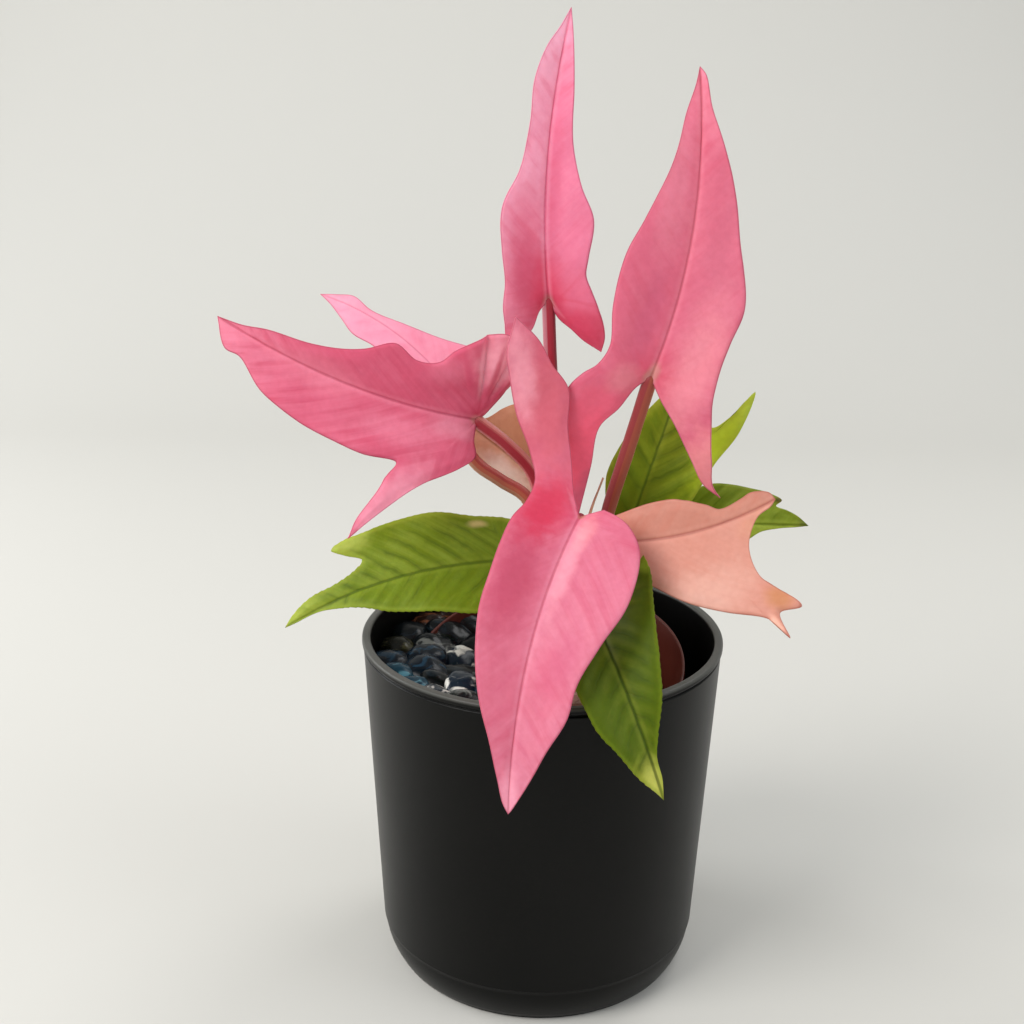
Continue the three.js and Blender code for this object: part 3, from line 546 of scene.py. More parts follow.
LEAVES = (
    LeafShape(
        "pink_top", LeafTint.PINK,
        StalkShape(StalkTint.RED, 2.1, (4, 6), ((5.5, 5.5, 141), (3.3, 5, 179), (1.2, 4.6, 205))),
        (0, 2, 228), (5, -6, 315), (0.1, -1, 0.3), fold=((10, 22, 30), (10, 22, 30)), bow=4,
        lobe_drop=(2, 3),
        stations=(
            (81.5, 82.5, 2, 81.5, -2), (74.5, 77, 5.5, 74.5, -4), (65, 68, 7.5, 65, -6),
            (51, 55, 7, 48, -8), (37, 41.5, 9, 37.5, -11.5), (25.5, 29.5, 14.5, 28, -15.5),
            (14, 17, 14.5, 16, -14), (5.5, 6, 14, 10, -13), (0, -2, 15.5, 5, -14.5),
        ),
        left_lobe=((-3.5, 3.5, -7.5, 15.5), (-9.5, 6.5, -12, 15.5), (-17.5, 14)),
        right_lobe=((-5.5, -2.5, 0, -16), (-9, -6.5, -5.5, -17), (-12.5, -10, -11, -17), (-16, -15.5)),
    ),
    LeafShape(
        "pink_right", LeafTint.PINK,
        StalkShape(StalkTint.RED, 2.3, (11, 2), ((15, 3, 127), (20.5, 2, 158), (26, -3, 181))),
        (32, -8, 206), (43, -4, 299), (-0.15, -1, 0.3), fold=((5, 15, 25), (5, 18, 25)), arch=4, bow=-6,
        lobe_reach=45, lobe_drop=(-2, 2),
        stations=(
            (89, 88.5, 1.5, 91.5, -2), (81.5, 80.5, 4.5, 82.5, -3.5), (71, 65.5, 8.5, 71, -8.5),
            (58, 48.5, 15, 58, -12.5), (45, 37, 19, 48, -15), (32, 22, 19, 37.5, -18.5),
            (18.5, 8.5, 16, 26, -21.5), (8.5, 2.5, 17.5, 15.5, -20.5), (0, -1, 21, 6, -20.5),
        ),
        left_lobe=(
            (-3.5, 3, -6.5, 23.5), (-11, 5.5, -15.5, 22), (-18, 9, -27.5, 17.5), (-32, 6.5, -39.5, 11.5),
            (-49, 4),
        ),
        right_lobe=(
            (-5.5, -5.5, -4, -22.5), (-13, -13.5, -12.5, -25.5), (-23.5, -23, -22.5, -29.5),
            (-31, -29.5, -30.5, -32.5), (-34.5, -36.5),
        ),
    ),
    LeafShape(
        "pink_left", LeafTint.ROSE,
        StalkShape(StalkTint.RED, 2.2, (-2, 0), ((0, -1, 135), (-3.3, -1.5, 171), (-12.1, -2, 182))),
        (-22, -1, 190), (-98, -26, 227), (0.15, -1, 0.35), fold=((5, 12, 15), (0, 20, 30)), arch=4, bow=5,
        lobe_reach=35, lobe_drop=(0, 5),
        stations=(
            (83.5, 83.5, 7.5, 81.5, -1.5), (76, 78.5, 7.5, 73.5, -4.5), (63.5, 69.5, 13.5, 60.5, -7),
            (51, 56, 17, 52, -9.5), (39, 44, 18.5, 45, -12.5), (26.5, 34.5, 19.5, 37, -17.5),
            (16, 23, 19, 28, -14.5), (0, 24.5, 23, 20.5, -16),
        ),
        left_lobe=(
            (-1, 7, 25.3, 24.8), (-3, 12.5, 25.8, 27), (1.5, 17, 26.7, 29.6), (12, 23.5, 28.1, 33.2),
            (21, 32.5, 30.6, 40.4), (31.5, 46),
        ),
        right_lobe=(
            (-1.5, -1.5, 17.5, -20.5), (-3.5, -6, 12, -26.5), (-5.5, -11, 5.5, -30), (-7.5, -16, -1.5, -28),
            (-9.5, -20.5),
        ),
    ),
    LeafShape(
        "pink_back", LeafTint.PINK,
        StalkShape(
            StalkTint.BROWN, 2.2, (-3, 8),
            ((-2, 8, 132), (-5.5, 8, 160.5), (-14.9, 10, 166.6), (-24, 12, 173)),
        ),
        (-32, 12, 198), (-74, 18, 226), (0.1, -1, 0.7), fold=((5, 10, 15), (5, 10, 15)), bow=-3,
        stations=(
            (47.5, 46.5, 2, 46, -2), (40.5, 40.5, 5.5, 41.5, -3.5), (30.5, 34.5, 8.5, 34, -2),
            (20.5, 26.5, 8.5, 23.5, -4), (10, 16, 11.5, 11, -8.5), (0, 8.5, 16, 1.5, -14),
        ),
        left_lobe=((0, 5.5, 4.5, 19), (0.5, 20.5)),
        right_lobe=((-4, -6.5, -4, -18), (-8.5, -21)),
    ),
    LeafShape(
        "pink_front", LeafTint.PINK, StalkShape(StalkTint.RED, 2, (5, -8), ((6, -13, 125), (9, -20, 150))),
        (11, -24, 166), (-9, -74, 90), (0.05, -1, 0.8), fold=((25, 12, 25), (30, 12, 25)), arch=11, bow=-5,
        lobe_reach=45, lobe_drop=(6, -22),
        stations=(
            (90.5, 92, 1, 90.5, -2), (84, 85.5, 5, 84.5, -4), (74.5, 77, 9.5, 76.5, -7),
            (61.5, 64.5, 15.5, 65.5, -12), (48.5, 54.5, 16.5, 53.5, -15.5), (35.5, 41.5, 20.5, 40.5, -18),
            (23.5, 26.5, 25, 27, -18.5), (12, 9, 22.5, 16, -19), (0, 0.5, 16, 6.5, -19),
        ),
        left_lobe=((-2, 3, -2.5, 11), (-4, 6)),
        right_lobe=(
            (-6, -4.5, 0, -17.5), (-17.5, -11, -8, -18.5), (-27, -17.5, -16, -24.5),
            (-36.5, -23, -24.5, -34), (-41, -32, -33, -42), (-45.5, -39.5, -39.5, -47.5), (-48.5, -49.5),
        ),
    ),
    LeafShape(
        "salmon_right", LeafTint.SALMON,
        StalkShape(StalkTint.BROWN, 1.8, (13, -6), ((15, -9, 120), (17, -12, 138))),
        (20, -13, 154), (71, -22, 172), (-0.1, -1, 0.9), fold=((5, 25, 35), (5, 5, 5)), arch=2, bow=-5,
        stations=(
            (49.5, 53.5, 3, 53, -1.5), (48, 48.5, 5.5, 48.5, -2.5), (43.5, 45, 5, 44.5, -9.5),
            (29.5, 38, 4.5, 46, -21.5), (28.4, 34.5, 7, 53, -31), (28, 31.5, 8.7, 56.5, -37.5),
            (27.6, 29.5, 9.8, 50, -36), (27.2, 27.5, 10.5, 51.5, -45), (25, 24.5, 11.5, 46.5, -36.5),
            (14, 16.5, 11.5, 34, -29), (6, 8, 9.5, 22, -22.5), (0, 1.5, 7, 12, -15.5),
        ),
        left_lobe=((-2.5, 4),),
        right_lobe=((1, -4, 5, -12.5), (2, -9.5)),
    ),
    LeafShape(
        "green_left", LeafTint.GREEN,
        StalkShape(StalkTint.GREEN, 1.7, (-3, -8), ((-5, -7, 115), (-7, -6, 132))),
        (-8, -8, 145), (-83, -18, 124), (0.1, -1, 0.9), fold=((5, 5, 10), (5, 8, 10)), arch=5, bow=-4,
        stations=(
            (74, 74, 0.5, 75.5, -2), (67.5, 66, 1, 67.5, -4.5), (58, 58, 3.5, 59, -5),
            (49.5, 50.5, 7, 52.5, -6.5), (34, 44, 10.5, 48.5, -9), (27.5, 39.5, 12, 53.5, -12.5),
            (22, 35, 13.5, 57.5, -16), (17.5, 30.5, 14.5, 52.5, -17.5), (13, 25, 16, 46.5, -17.5),
            (8.5, 18.5, 17.5, 35, -18.5), (4.5, 10, 17.5, 21.5, -18.5), (0, 5.5, 16.5, 10.5, -16),
        ),
        left_lobe=((1, 13),),
        right_lobe=((-3, -3.5, -0.5, -14.5), (-8, -10)),
    ),
    LeafShape(
        "green_front", LeafTint.GREEN,
        StalkShape(StalkTint.GREEN, 1.6, (9, -15), ((11, -19, 110), (13, -26, 126))),
        (15, -30, 137), (37, -67, 92), (0.2, -1, 0.8), fold=((60, 40, 16), (5, 8, 15)), arch=11, bow=-2,
        lobe_drop=(-20, 0),
        stations=(
            (58, 57, 1.5, 59.5, -2), (51, 51, 2, 54.5, -6), (42.5, 44, 5, 46.5, -10),
            (32.5, 36.5, 9, 39.5, -13.5), (22.5, 26.5, 12.5, 31, -15), (12.5, 15, 16.5, 22.5, -15),
            (0, 5.5, 20, 12, -13),
        ),
        left_lobe=((-2, 10, -2.5, 23), (-8.5, 24)),
        right_lobe=((-1, -2.5, 5, -10.5), (-1.5, -6.5)),
    ),
    LeafShape(
        "green_back", LeafTint.GREEN,
        StalkShape(StalkTint.GREEN, 1.7, (11, 10), ((16, 12, 120), (23, 13, 142))),
        (29, 8, 154), (46, 22, 203), (0, -1, 0.6), arch=4,
        stations=(
            (46, 47, 2, 50.5, -4), (40.5, 39, 6, 45.5, -7.5), (32, 31, 9.5, 40, -11),
            (8, 24, 11.5, 37.5, -14.5), (1, 19, 12.5, 42, -18.7), (0.5, 15.5, 13, 53, -24),
            (0.4, 11.5, 13, 39, -23.5), (0.3, 7.5, 12, 27, -19.5), (0.15, 3.5, 10.5, 17.5, -17.5),
            (0, 0, 9, 10, -15.5),
        ),
        left_lobe=((-5, 4),),
        right_lobe=((-2, -4, 3, -11.5), (-3.5, -9)),
    ),
    LeafShape(
        "green_right", LeafTint.GREEN,
        StalkShape(StalkTint.GREEN, 1.6, (18, 5), ((23, 12, 115), (31, 18, 138))),
        (36, 16, 148), (88, 12, 152), (0, -1, 0.9),
        stations=(
            (46.5, 49, 3, 48, -0.7), (43, 45.5, 5, 42.5, -1.3), (31.5, 42, 6.5, 36.5, -2.8),
            (24.5, 44, 8.5, 32, -6), (22, 39.5, 11, 27.5, -8.5), (20, 34, 12.5, 22, -10),
            (12.5, 27.5, 14, 16, -10.5), (6.5, 21, 14.5, 10.5, -9.5), (0, 14, 12.5, 5, -7.5),
        ),
        left_lobe=((3.5, 8.5),),
        right_lobe=((-2, -6.5),),
    ),
    LeafShape(
        "peach_back", LeafTint.SALMON,
        StalkShape(StalkTint.GREEN, 1.5, (3, 14), ((3, 18, 120), (3, 21, 145))),
        (1, 19, 161), (-31, 27, 184), (0.1, -1, 0.5), fold=((5, 8, 10), (5, 12, 10)),
        stations=(
            (34, 35, 3, 35.5, -1.5), (26, 27.5, 6, 31, -5.5), (18, 21, 7, 28.5, -11.5),
            (10, 14, 7, 25.5, -15.5), (0, 6.5, 7.5, 19.5, -16.5),
        ),
        left_lobe=((0, 7.5),),
        right_lobe=((2.5, -6, 13, -16.5), (6, -14)),
    ),
)


# ---- Finishes ----


@dataclass(frozen=True)
class BladeTones:
    """Colours of one blade, as 0xRRGGBB."""

    body: int
    light: int
    deep: int
    rib: int
    vein: int
    margin: int
    under: int


@dataclass(frozen=True)
class Patch:
    """A soft spot of another colour on a blade.

    x and y place it in the flat outline, and reach and breadth are its half sizes along and across
    the midrib, in millimetres, before turn, in degrees, swings it round.
    """

    x: float
    y: float
    reach: float
    breadth: float
    colour: int
    strength: float = 1.0
    mottle: float = 0.3
    turn: float = 0.0

    @property
    def axes(self) -> tuple[Triple, Triple]:
        """The directions along and across it, each over its half size, as flat vectors."""
        cos, sin = math.cos(math.radians(self.turn)), math.sin(math.radians(self.turn))
        along = (cos / self.reach, sin / self.reach, 0.0)
        return along, (-sin / self.breadth, cos / self.breadth, 0.0)


@dataclass(frozen=True)
class BladeLook:
    """How one blade is coloured and how its surface undulates.

    Pairs are for the left and the right half. lightness is the share of the light tone in a half,
    lobe_depth the share of the deep tone in a lobe, and deep_reach how far from the junction the
    deep tone fades, in millimetres. pleats are (first and last bearing from the junction in degrees,
    number, depth) of the folds of the right half.
    """

    tones: BladeTones
    lightness: tuple[float, float] = (0.15, 0.3)
    lobe_depth: tuple[float, float] = (0.2, 0.2)
    deep_reach: float = 26.0
    tip_light: float = 0.0
    patches: tuple[Patch, ...] = ()
    tip_start: float = 0.62
    rib_strength: float = 0.5
    rib_width: float = 0.55
    flank: float = 0.3
    vein_strength: float = 0.1
    vein_spacing: float = 8.0
    vein_slant: float = 0.9
    streaks: float = 0.2
    net: float = 0.02
    margin_width: float = 0.42
    margin_strength: float = 0.6
    shine: float = 0.24
    wave: float = 0.6
    puff: float = 0.04
    teeth: float = 0.0
    curl: float = 0.3
    pleats: tuple[float, float, float, float] = (0.0, 1.0, 1.0, 0.0)


# How far the side veins of the left half are set off from the right's, as a share of their spacing.
VEIN_STAGGER = 0.45

# Depth, place and width of the midrib's groove and of the shoulder beside it, in millimetres.
MIDRIB_SECTION = ((-0.12, 0.0, 0.8), (0.08, 2.2, 1.4))

# Body, light, deep, midrib, vein, margin and underside.
BRIGHT_PINK = BladeTones(0xF082A2, 0xFFB6CE, 0xDC4460, 0xCC5474, 0xDC6890, 0xB85070, 0xEAA2B6)
DUSTY_PINK = BladeTones(0xDA6A84, 0xEE90A2, 0xCE3E5A, 0xB04E5A, 0xC4506E, 0xA84860, 0xE29AA8)
ROSE_PINK = BladeTones(0xDC5E7C, 0xF696AC, 0xC83A58, 0xA83A50, 0xC0486A, 0xA84058, 0xE090A6)
PALE_PINK = BladeTones(0xF69EB8, 0xFEB8CA, 0xE0607E, 0xD07088, 0xE07C9A, 0xB8566E, 0xEEB0C0)
CORAL_PINK = BladeTones(0xD66E86, 0xEC98AE, 0xCC446A, 0xB04C5E, 0xCC507A, 0xB04860, 0xE89CAE)
SALMON = BladeTones(0xCC8A78, 0xDEA292, 0xCC6A54, 0xA05048, 0xC08070, 0xA86050, 0xE2B0A0)
PEACH = BladeTones(0xB88260, 0xD6A282, 0xA0684A, 0x965A3C, 0xAC7050, 0xA8704E, 0xD8A88C)
LEAF_GREEN = BladeTones(0x687C08, 0xA8B84A, 0x50640A, 0x485A0A, 0x4C6008, 0x98AA38, 0x8C9C4C)
DARK_GREEN = BladeTones(0x506206, 0xB8BC48, 0x405206, 0x364608, 0x3C4E06, 0x748A1C, 0x7C8E40)
OLIVE_GREEN = BladeTones(0x6A7E0C, 0xAEB832, 0x566A0A, 0x465A0A, 0x4C6008, 0x9AA834, 0x90A04E)

# What the green blades share.
GREEN_BLADE = BladeLook(
    LEAF_GREEN, flank=0.1, puff=0.2, rib_width=0.7, rib_strength=0.7, streaks=0.25, net=0.06,
    margin_strength=0.35, shine=0.14,
)
LOOKS = {
    "pink_top": BladeLook(
        BRIGHT_PINK, lightness=(0.6, 0), lobe_depth=(0.1, 0.4), deep_reach=20, tip_light=0.4,
        rib_strength=0.35,
        patches=(
            Patch(18, 7, 26, 10, 0xE4587C, 0.5, 0.2), Patch(7, 6, 21, 10, 0xD04468, 0.6, 0.2),
            Patch(2, 0, 18, 7, 0xE8486A, 0.7), Patch(-9, -10, 10, 9, 0xEC4C70, 0.6),
            Patch(36, -2, 28, 4.6, 0xDA5C80, 0.5), Patch(-2, 0, 7, 6, 0xC43450, 0.7),
            Patch(-0.5, 0, 3.4, 2.6, 0xB4806C, 0.8),
        ),
    ),
    "pink_right": BladeLook(
        DUSTY_PINK, lightness=(0, 0.08), lobe_depth=(0.2, 0), deep_reach=16, tip_light=0.3,
        patches=(
            Patch(30, -12, 34, 13, 0xCC7086, 0.45, 0.3), Patch(-20, 14, 24, 14, 0xF8647E, 0.6),
            # The vivid red patch at (-30, 12) on the left lobe is the lobe's own red made much brighter,
            # painted light where shade falls on the lobe.
            Patch(-30, 12, 18, 9, 0xFF6682, 0.95), Patch(-24, -28, 18, 12, 0xFA9CA0, 0.75),
            Patch(20, 7, 22, 5, 0xC85C7C, 0.4), Patch(58, -9, 34, 8, 0xC05C74, 0.5),
            Patch(60, 7, 30, 8, 0xE494A4, 0.35), Patch(4, -13, 32, 11, 0xF49EA8, 0.5),
            Patch(-1, 8, 7, 7, 0xE09098, 0.5), Patch(1, 0, 5.5, 3, 0xC09482, 0.85),
        ),
    ),
    "pink_left": BladeLook(
        ROSE_PINK, lightness=(0.1, 0), deep_reach=8, tip_light=0.5, vein_slant=1.5, vein_strength=0.12,
        streaks=0.24, wave=0.7, rib_strength=0.36, pleats=(48, 128, 3.5, 2.8),
        patches=(
            Patch(22, 33, 22, 11, 0xFFA2B8, 0.85, 0.25, 55), Patch(6, 4, 12, 5, 0xF0A0B4, 0.5),
            Patch(56, 0, 20, 8, 0xF698AC, 0.35, 0.2), Patch(26, 9, 18, 6.5, 0xFA9CB4, 0.35, 0.2),
            # Over the crumpled, pleated part of the right half by the junction, the big pale patch at (1,
            # -23) and the thin light and dark lines fanning out from the junction are painted highlights on
            # the folds and painted shade in the valleys between them.
            Patch(17, -14, 10, 6, 0xF08CA4, 0.4), Patch(1, -23, 13, 13, 0xFFAEBE, 1),
            Patch(6.7, -16.7, 11, 1.5, 0xFFBCCA, 0.8, 0.25, -68),
            Patch(2.5, -17.8, 11, 1.2, 0xC83A5A, 0.6, 0.25, -82),
            Patch(-1.6, -18, 11, 1.3, 0xFFC0CC, 0.7, 0.25, -95),
            Patch(-5, -17.3, 9, 1.2, 0xC83A5A, 0.5, 0.25, -106),
            Patch(10.3, -14.7, 9, 1.4, 0xD04468, 0.5, 0.25, -55), Patch(0.5, 0, 2.6, 2.2, 0xC8A08C, 0.7),
        ),
    ),
    "pink_back": BladeLook(
        PALE_PINK, lightness=(0.2, 0.2), deep_reach=8, rib_width=0.4, rib_strength=0.4,
    ),
    "pink_front": BladeLook(
        CORAL_PINK, lightness=(0.2, 0), deep_reach=9, tip_light=0.2, rib_strength=0.42,
        patches=(
            Patch(26, -11, 28, 10, 0xBC4460, 0.75), Patch(0, -11, 17, 12, 0xD03050, 0.85),
            # The pale strip at (-36, -40) along the right lobe's rolled margin is a painted highlight where
            # the margin turns to the light.
            Patch(-30, -28, 30, 14, 0xDE6C7C, 0.8, 0.3, 38), Patch(-36, -40, 20, 6, 0xFFACBC, 0.7, 0.4, 40),
            Patch(52, 8, 14, 8, 0xD85E7E, 0.6), Patch(46, 12, 12, 6, 0xD06080, 0.45),
            Patch(18, 3, 22, 3.6, 0xFFB0BE, 0.55), Patch(5, 4, 9, 4, 0xFFACB0, 0.45),
            Patch(88, 0, 9, 4, 0xFFB0C4, 0.7), Patch(-0.4, 0.4, 2, 1.6, 0xA87850, 0.9),
        ),
    ),
    "salmon_right": BladeLook(
        SALMON, lightness=(0, 0.2), deep_reach=18, rib_width=0.8, rib_strength=0.45, vein_strength=0.08,
        patches=(
            Patch(30, -22, 20, 12, 0xE4B4A4, 0.5), Patch(48, -4, 8, 7, 0xE09C80, 0.5),
            Patch(50.6, -31.6, 7, 4.6, 0xC48458, 0.8, 0.25, -55),
            Patch(48.6, -40, 6, 1.6, 0xFFC8B0, 0.7, 0.25, -68),
        ),
    ),
    "peach_back": BladeLook(
        PEACH, lightness=(0.6, 0), deep_reach=6,
        # The near-white patch at (14, 6.5) is painted light: a glow standing in for light shining through the
        # leaf.
        patches=(Patch(14, 6.5, 14, 6.5, 0xFFEEDC, 1),),
    ),
    "green_left": replace(
        GREEN_BLADE, lightness=(0, 0.1), deep_reach=30, tip_light=0.9, tip_start=0.7, vein_strength=0.75,
        vein_spacing=7, net=0.08, margin_width=2.2, puff=0.25, teeth=0.32,
        patches=(Patch(52, -17, 10, 6, 0xA8B44C, 0.8), Patch(9.8, -13.1, 4.4, 1.8, 0xB4A468, 0.9)),
    ),
    "green_front": replace(
        GREEN_BLADE, tones=DARK_GREEN, lightness=(-0.1, -0.1), deep_reach=14, tip_light=1, tip_start=0.72,
        vein_strength=0.65, vein_spacing=7.5, margin_width=1.6, shine=0.12, teeth=0.32,
        patches=(Patch(-6, 23.5, 3.5, 4.5, 0x8CA42C, 0.8), Patch(57, 0, 8, 6, 0xC8C860, 0.8)),
    ),
    "green_back": replace(
        GREEN_BLADE, tones=OLIVE_GREEN, lightness=(0, 0.1), deep_reach=20, tip_light=0.9, rib_strength=0.6,
        rib_width=0.6, vein_strength=0.6, vein_spacing=9, streaks=0.3, margin_width=2.5,
        margin_strength=0.4, puff=0.25,
        patches=(Patch(34, -20, 24, 11, 0xB8D02E, 0.85), Patch(50, -23, 12, 5, 0xC0D644, 0.8)),
    ),
    "green_right": replace(
        GREEN_BLADE, deep_reach=10, tip_light=0.1, rib_strength=0.5, rib_width=0.55, flank=0.3,
        vein_strength=0.35, margin_width=1.2, margin_strength=0.12,
        patches=(Patch(51.5, 0.6, 4, 3, 0x2C380C, 1), Patch(43.3, 8.4, 2.6, 1.8, 0x4A3C1A, 0.9)),
    ),
}


@dataclass(frozen=True)
class BladeFinish:
    """The satin skin of a blade: soft mottling, side veins, midrib, margin and a fine net."""

    look: BladeLook
    underside: bool = False

    @property
    def fade(self) -> float:
        """How strongly the upper side's markings show."""
        return 0.4 if self.underside else 1.0

    def build(self, name: str) -> bpy.types.Material:
        """Makes the material. It reads the mesh's "leaf", "vein", "zone" and "flat" vectors."""
        sketch = ShaderSketch(name)
        look, tones = self.look, self.look.tones
        _, from_rib, from_edge = sketch.parts(sketch.stored("leaf"))
        place = sketch.place()
        blotch, grain = sketch.noise(place, 60.0, 3.0), sketch.noise(place, 520.0, 4.0)
        net, wander = sketch.cells(place, 420.0), sketch.noise(place, 230.0, 3.0)
        fine_vein, colour = self._veined(sketch, self._ground(sketch, blotch), blotch)
        colour = sketch.mix(sketch.ramp(net, 0.09, 0.02, look.net * self.fade), colour, tones.vein)
        for patch in () if self.underside else look.patches:
            colour = self._patched(sketch, colour, patch, wander)
        inner, outer = 0.6 * look.rib_width, 1.5 * look.rib_width
        inside = sketch.ramp(from_rib, inner, outer, look.flank)
        flank = sketch.times(inside, sketch.ramp(from_rib, outer + 1.4, outer))
        rib_line = sketch.ramp(from_rib, 1.15 * look.rib_width, 0.3 * look.rib_width)
        at_rib = sketch.times(rib_line, look.rib_strength * (0.5 if self.underside else 1.0))
        at_edge = sketch.ramp(from_edge, look.margin_width, 0.2 * look.margin_width, look.margin_strength)
        for share, tone in ((flank, tones.light), (at_rib, tones.rib), (at_edge, tones.margin)):
            colour = sketch.mix(share, colour, tone)
        colour = sketch.mix(sketch.ramp(grain, 0.25, 0.8, 0.12), colour, tones.vein, "MULTIPLY")

        mesh = sketch.ramp(net, 0.0, 0.12)
        heights = ((fine_vein, -look.vein_strength), (grain, 0.3), (mesh, 2.0 * look.net), (rib_line, -0.12))
        sketch.relief(sketch.total(0.0, *heights), 0.3, 0.0003)
        roughness = sketch.total(0.55 if self.underside else 0.44, (grain, 0.16))
        sketch.dress(Base_Color=colour, Roughness=roughness, Specular_IOR_Level=look.shine)
        sketch.dress(Subsurface_Weight=0.12, Subsurface_Radius=(1.0, 0.35, 0.25), Subsurface_Scale=0.002)
        return sketch.material

    def _by_half(self, sketch: ShaderSketch, left: float, right: float) -> Output:
        """Returns a number that is one on the left half and another on the right."""
        on_left = sketch.ramp(sketch.parts(sketch.stored("vein"))[1], -0.6, 0.6)
        return sketch.total(right, (on_left, left - right))

    def _ground(self, sketch: ShaderSketch, blotch: Socket) -> Output:
        """Returns the blade's colour without veins: light and deep tones over the body's."""
        look, tones = self.look, self.look.tones
        along = sketch.parts(sketch.stored("leaf"))[0]
        from_junction, behind, _ = sketch.parts(sketch.stored("zone"))
        vein_run = sketch.stretched(sketch.stored("vein"), (0.3, 2.0, 0.8))
        brushed = sketch.maths("SUBTRACT", sketch.noise(vein_run, 1.0, 4.0, 0.3), 0.5)
        cloud = sketch.maths("SUBTRACT", blotch, 0.5)
        lightness = self._by_half(sketch, *look.lightness)
        share = sketch.total(lightness, (brushed, 3.0 * look.streaks), (cloud, 0.5))
        tip = sketch.ramp(along, look.tip_start, 1.0, look.tip_light)
        lit = sketch.times(sketch.maths("ADD", share, tip, clamp=True), self.fade)
        colour = sketch.mix(lit, tones.under if self.underside else tones.body, tones.light)
        near = sketch.ramp(from_junction, look.deep_reach, 2.0, 0.5 * self.fade)
        lobe = sketch.times(sketch.ramp(behind, 0.0, 0.6, self.fade), self._by_half(sketch, *look.lobe_depth))
        dark_streak = sketch.ramp(brushed, -0.02, -0.2, 0.8 * look.streaks * self.fade)
        dark = sketch.maths("ADD", sketch.maths("ADD", near, lobe), dark_streak, clamp=True)
        return sketch.mix(dark, colour, tones.deep)

    def _veined(self, sketch: ShaderSketch, colour: Socket, blotch: Socket) -> tuple[Output, Output]:
        """Draws the side veins over a colour, with a faint painted highlight on the puffed tissue between
        them.

        Returns:
            How much of a vein a point is in, and the new colour.
        """
        look, tones = self.look, self.look.tones
        phase, _, across = sketch.parts(sketch.stored("vein"))
        along = sketch.parts(sketch.stored("leaf"))[0]
        place = sketch.place()
        spaced = sketch.maths("DIVIDE", phase, look.vein_spacing)
        wobble = sketch.total(spaced, (blotch, 0.9), (sketch.noise(place, 170.0, 2.0), 0.35))
        shifted = sketch.maths("ADD", wobble, self._by_half(sketch, VEIN_STAGGER, 0.0))
        saw = sketch.maths("SUBTRACT", sketch.maths("FRACT", shifted), 0.5)
        peak = sketch.times(sketch.maths("ABSOLUTE", saw), 2.0)
        inside = sketch.times(sketch.ramp(across, 0.95, 0.55), sketch.ramp(along, 0.97, 0.8))
        uneven = sketch.ramp(sketch.noise(place, 75.0, 2.0), 0.36, 0.6)
        inside = sketch.times(inside, sketch.total(0.2, (uneven, 0.8)))
        fine_vein = sketch.times(sketch.ramp(peak, 0.8, 0.99), inside)
        fine_saw = sketch.maths("FRACT", sketch.total(0.5, (shifted, 3.0)))
        fine_peak = sketch.maths("ABSOLUTE", sketch.maths("SUBTRACT", fine_saw, 0.5))
        strength = look.vein_strength * self.fade
        for share, tone in (
            # Painted highlight: a faint light tone on the puffed tissue between the veins.
            (sketch.times(sketch.ramp(peak, 0.6, 0.1, 0.1 * strength), inside), tones.light),
            (sketch.times(sketch.ramp(peak, 0.4, 1.0, 0.7 * strength), inside), tones.vein),
            (sketch.times(fine_vein, 0.55 * strength), tones.vein),
            (sketch.times(sketch.ramp(fine_peak, 0.36, 0.5, 0.12 * strength), inside), tones.vein),
        ):
            colour = sketch.mix(share, colour, tone)
        return fine_vein, colour

    def _patched(self, sketch: ShaderSketch, colour: Socket, patch: Patch, wander: Socket) -> Output:
        """Lays one patch with a wandering edge over a colour."""
        middle = Vector((patch.x, patch.y, 0.0))
        along, aside = (
            sketch.maths("SUBTRACT", sketch.dot(sketch.stored("flat"), axis), Vector(axis).dot(middle))
            for axis in patch.axes
        )
        square = sketch.maths("MULTIPLY_ADD", along, along, sketch.times(aside, aside))
        shift = sketch.times(sketch.maths("SUBTRACT", wander, 0.5), 2.0 * patch.mottle)
        away = sketch.maths("ADD", sketch.maths("SQRT", square), shift)
        return sketch.mix(sketch.ramp(away, 1.1, 0.2, patch.strength), colour, patch.colour)


@dataclass(frozen=True)
class StalkFinish:
    """The skin of a petiole, striped along its length.

    left, middle and right are its colours from the left of its front to the right, split where the
    change comes, as shares from -1 to 1, and foot is the colour of its sheath.
    """

    left: int
    middle: int
    right: int
    streak: int
    foot: int
    split: tuple[float, float] = (-0.5, 0.6)

    def build(self, name: str) -> bpy.types.Material:
        """Makes the material. It reads the mesh's "stalk" vector."""
        sketch = ShaderSketch(name)
        stalk = sketch.stored("stalk")
        turn, _, length = sketch.parts(stalk)
        streaks = sketch.noise(sketch.stretched(stalk, (3.0, 3.0, 0.5)), 2.2, 3.0)
        fine = sketch.noise(sketch.stretched(stalk, (9.0, 9.0, 0.8)), 3.0, 3.0)
        mottle = sketch.noise(sketch.place(), 300.0, 3.0)
        wander = sketch.total(turn, (sketch.maths("SUBTRACT", streaks, 0.5), 0.7))
        at_middle, at_right = (sketch.ramp(wander, at - 0.12, at + 0.12) for at in self.split)
        colour = sketch.mix(at_middle, self.left, self.middle)
        for share, tone in (
            (at_right, self.right),
            (sketch.ramp(fine, 0.52, 0.72, 0.4), self.streak),
            (sketch.ramp(mottle, 0.6, 0.8, 0.2), self.middle),
            (sketch.ramp(length, 0.3, 0.12, 0.7), self.foot),
        ):
            colour = sketch.mix(share, colour, tone)
        sketch.relief(sketch.total(mottle, (fine, 0.7)), 0.3, 0.0003)
        sketch.dress(Base_Color=colour, Roughness=0.42, Specular_IOR_Level=0.35)
        sketch.dress(Subsurface_Weight=0.1, Subsurface_Radius=(1.0, 0.4, 0.25), Subsurface_Scale=0.0015)
        return sketch.material


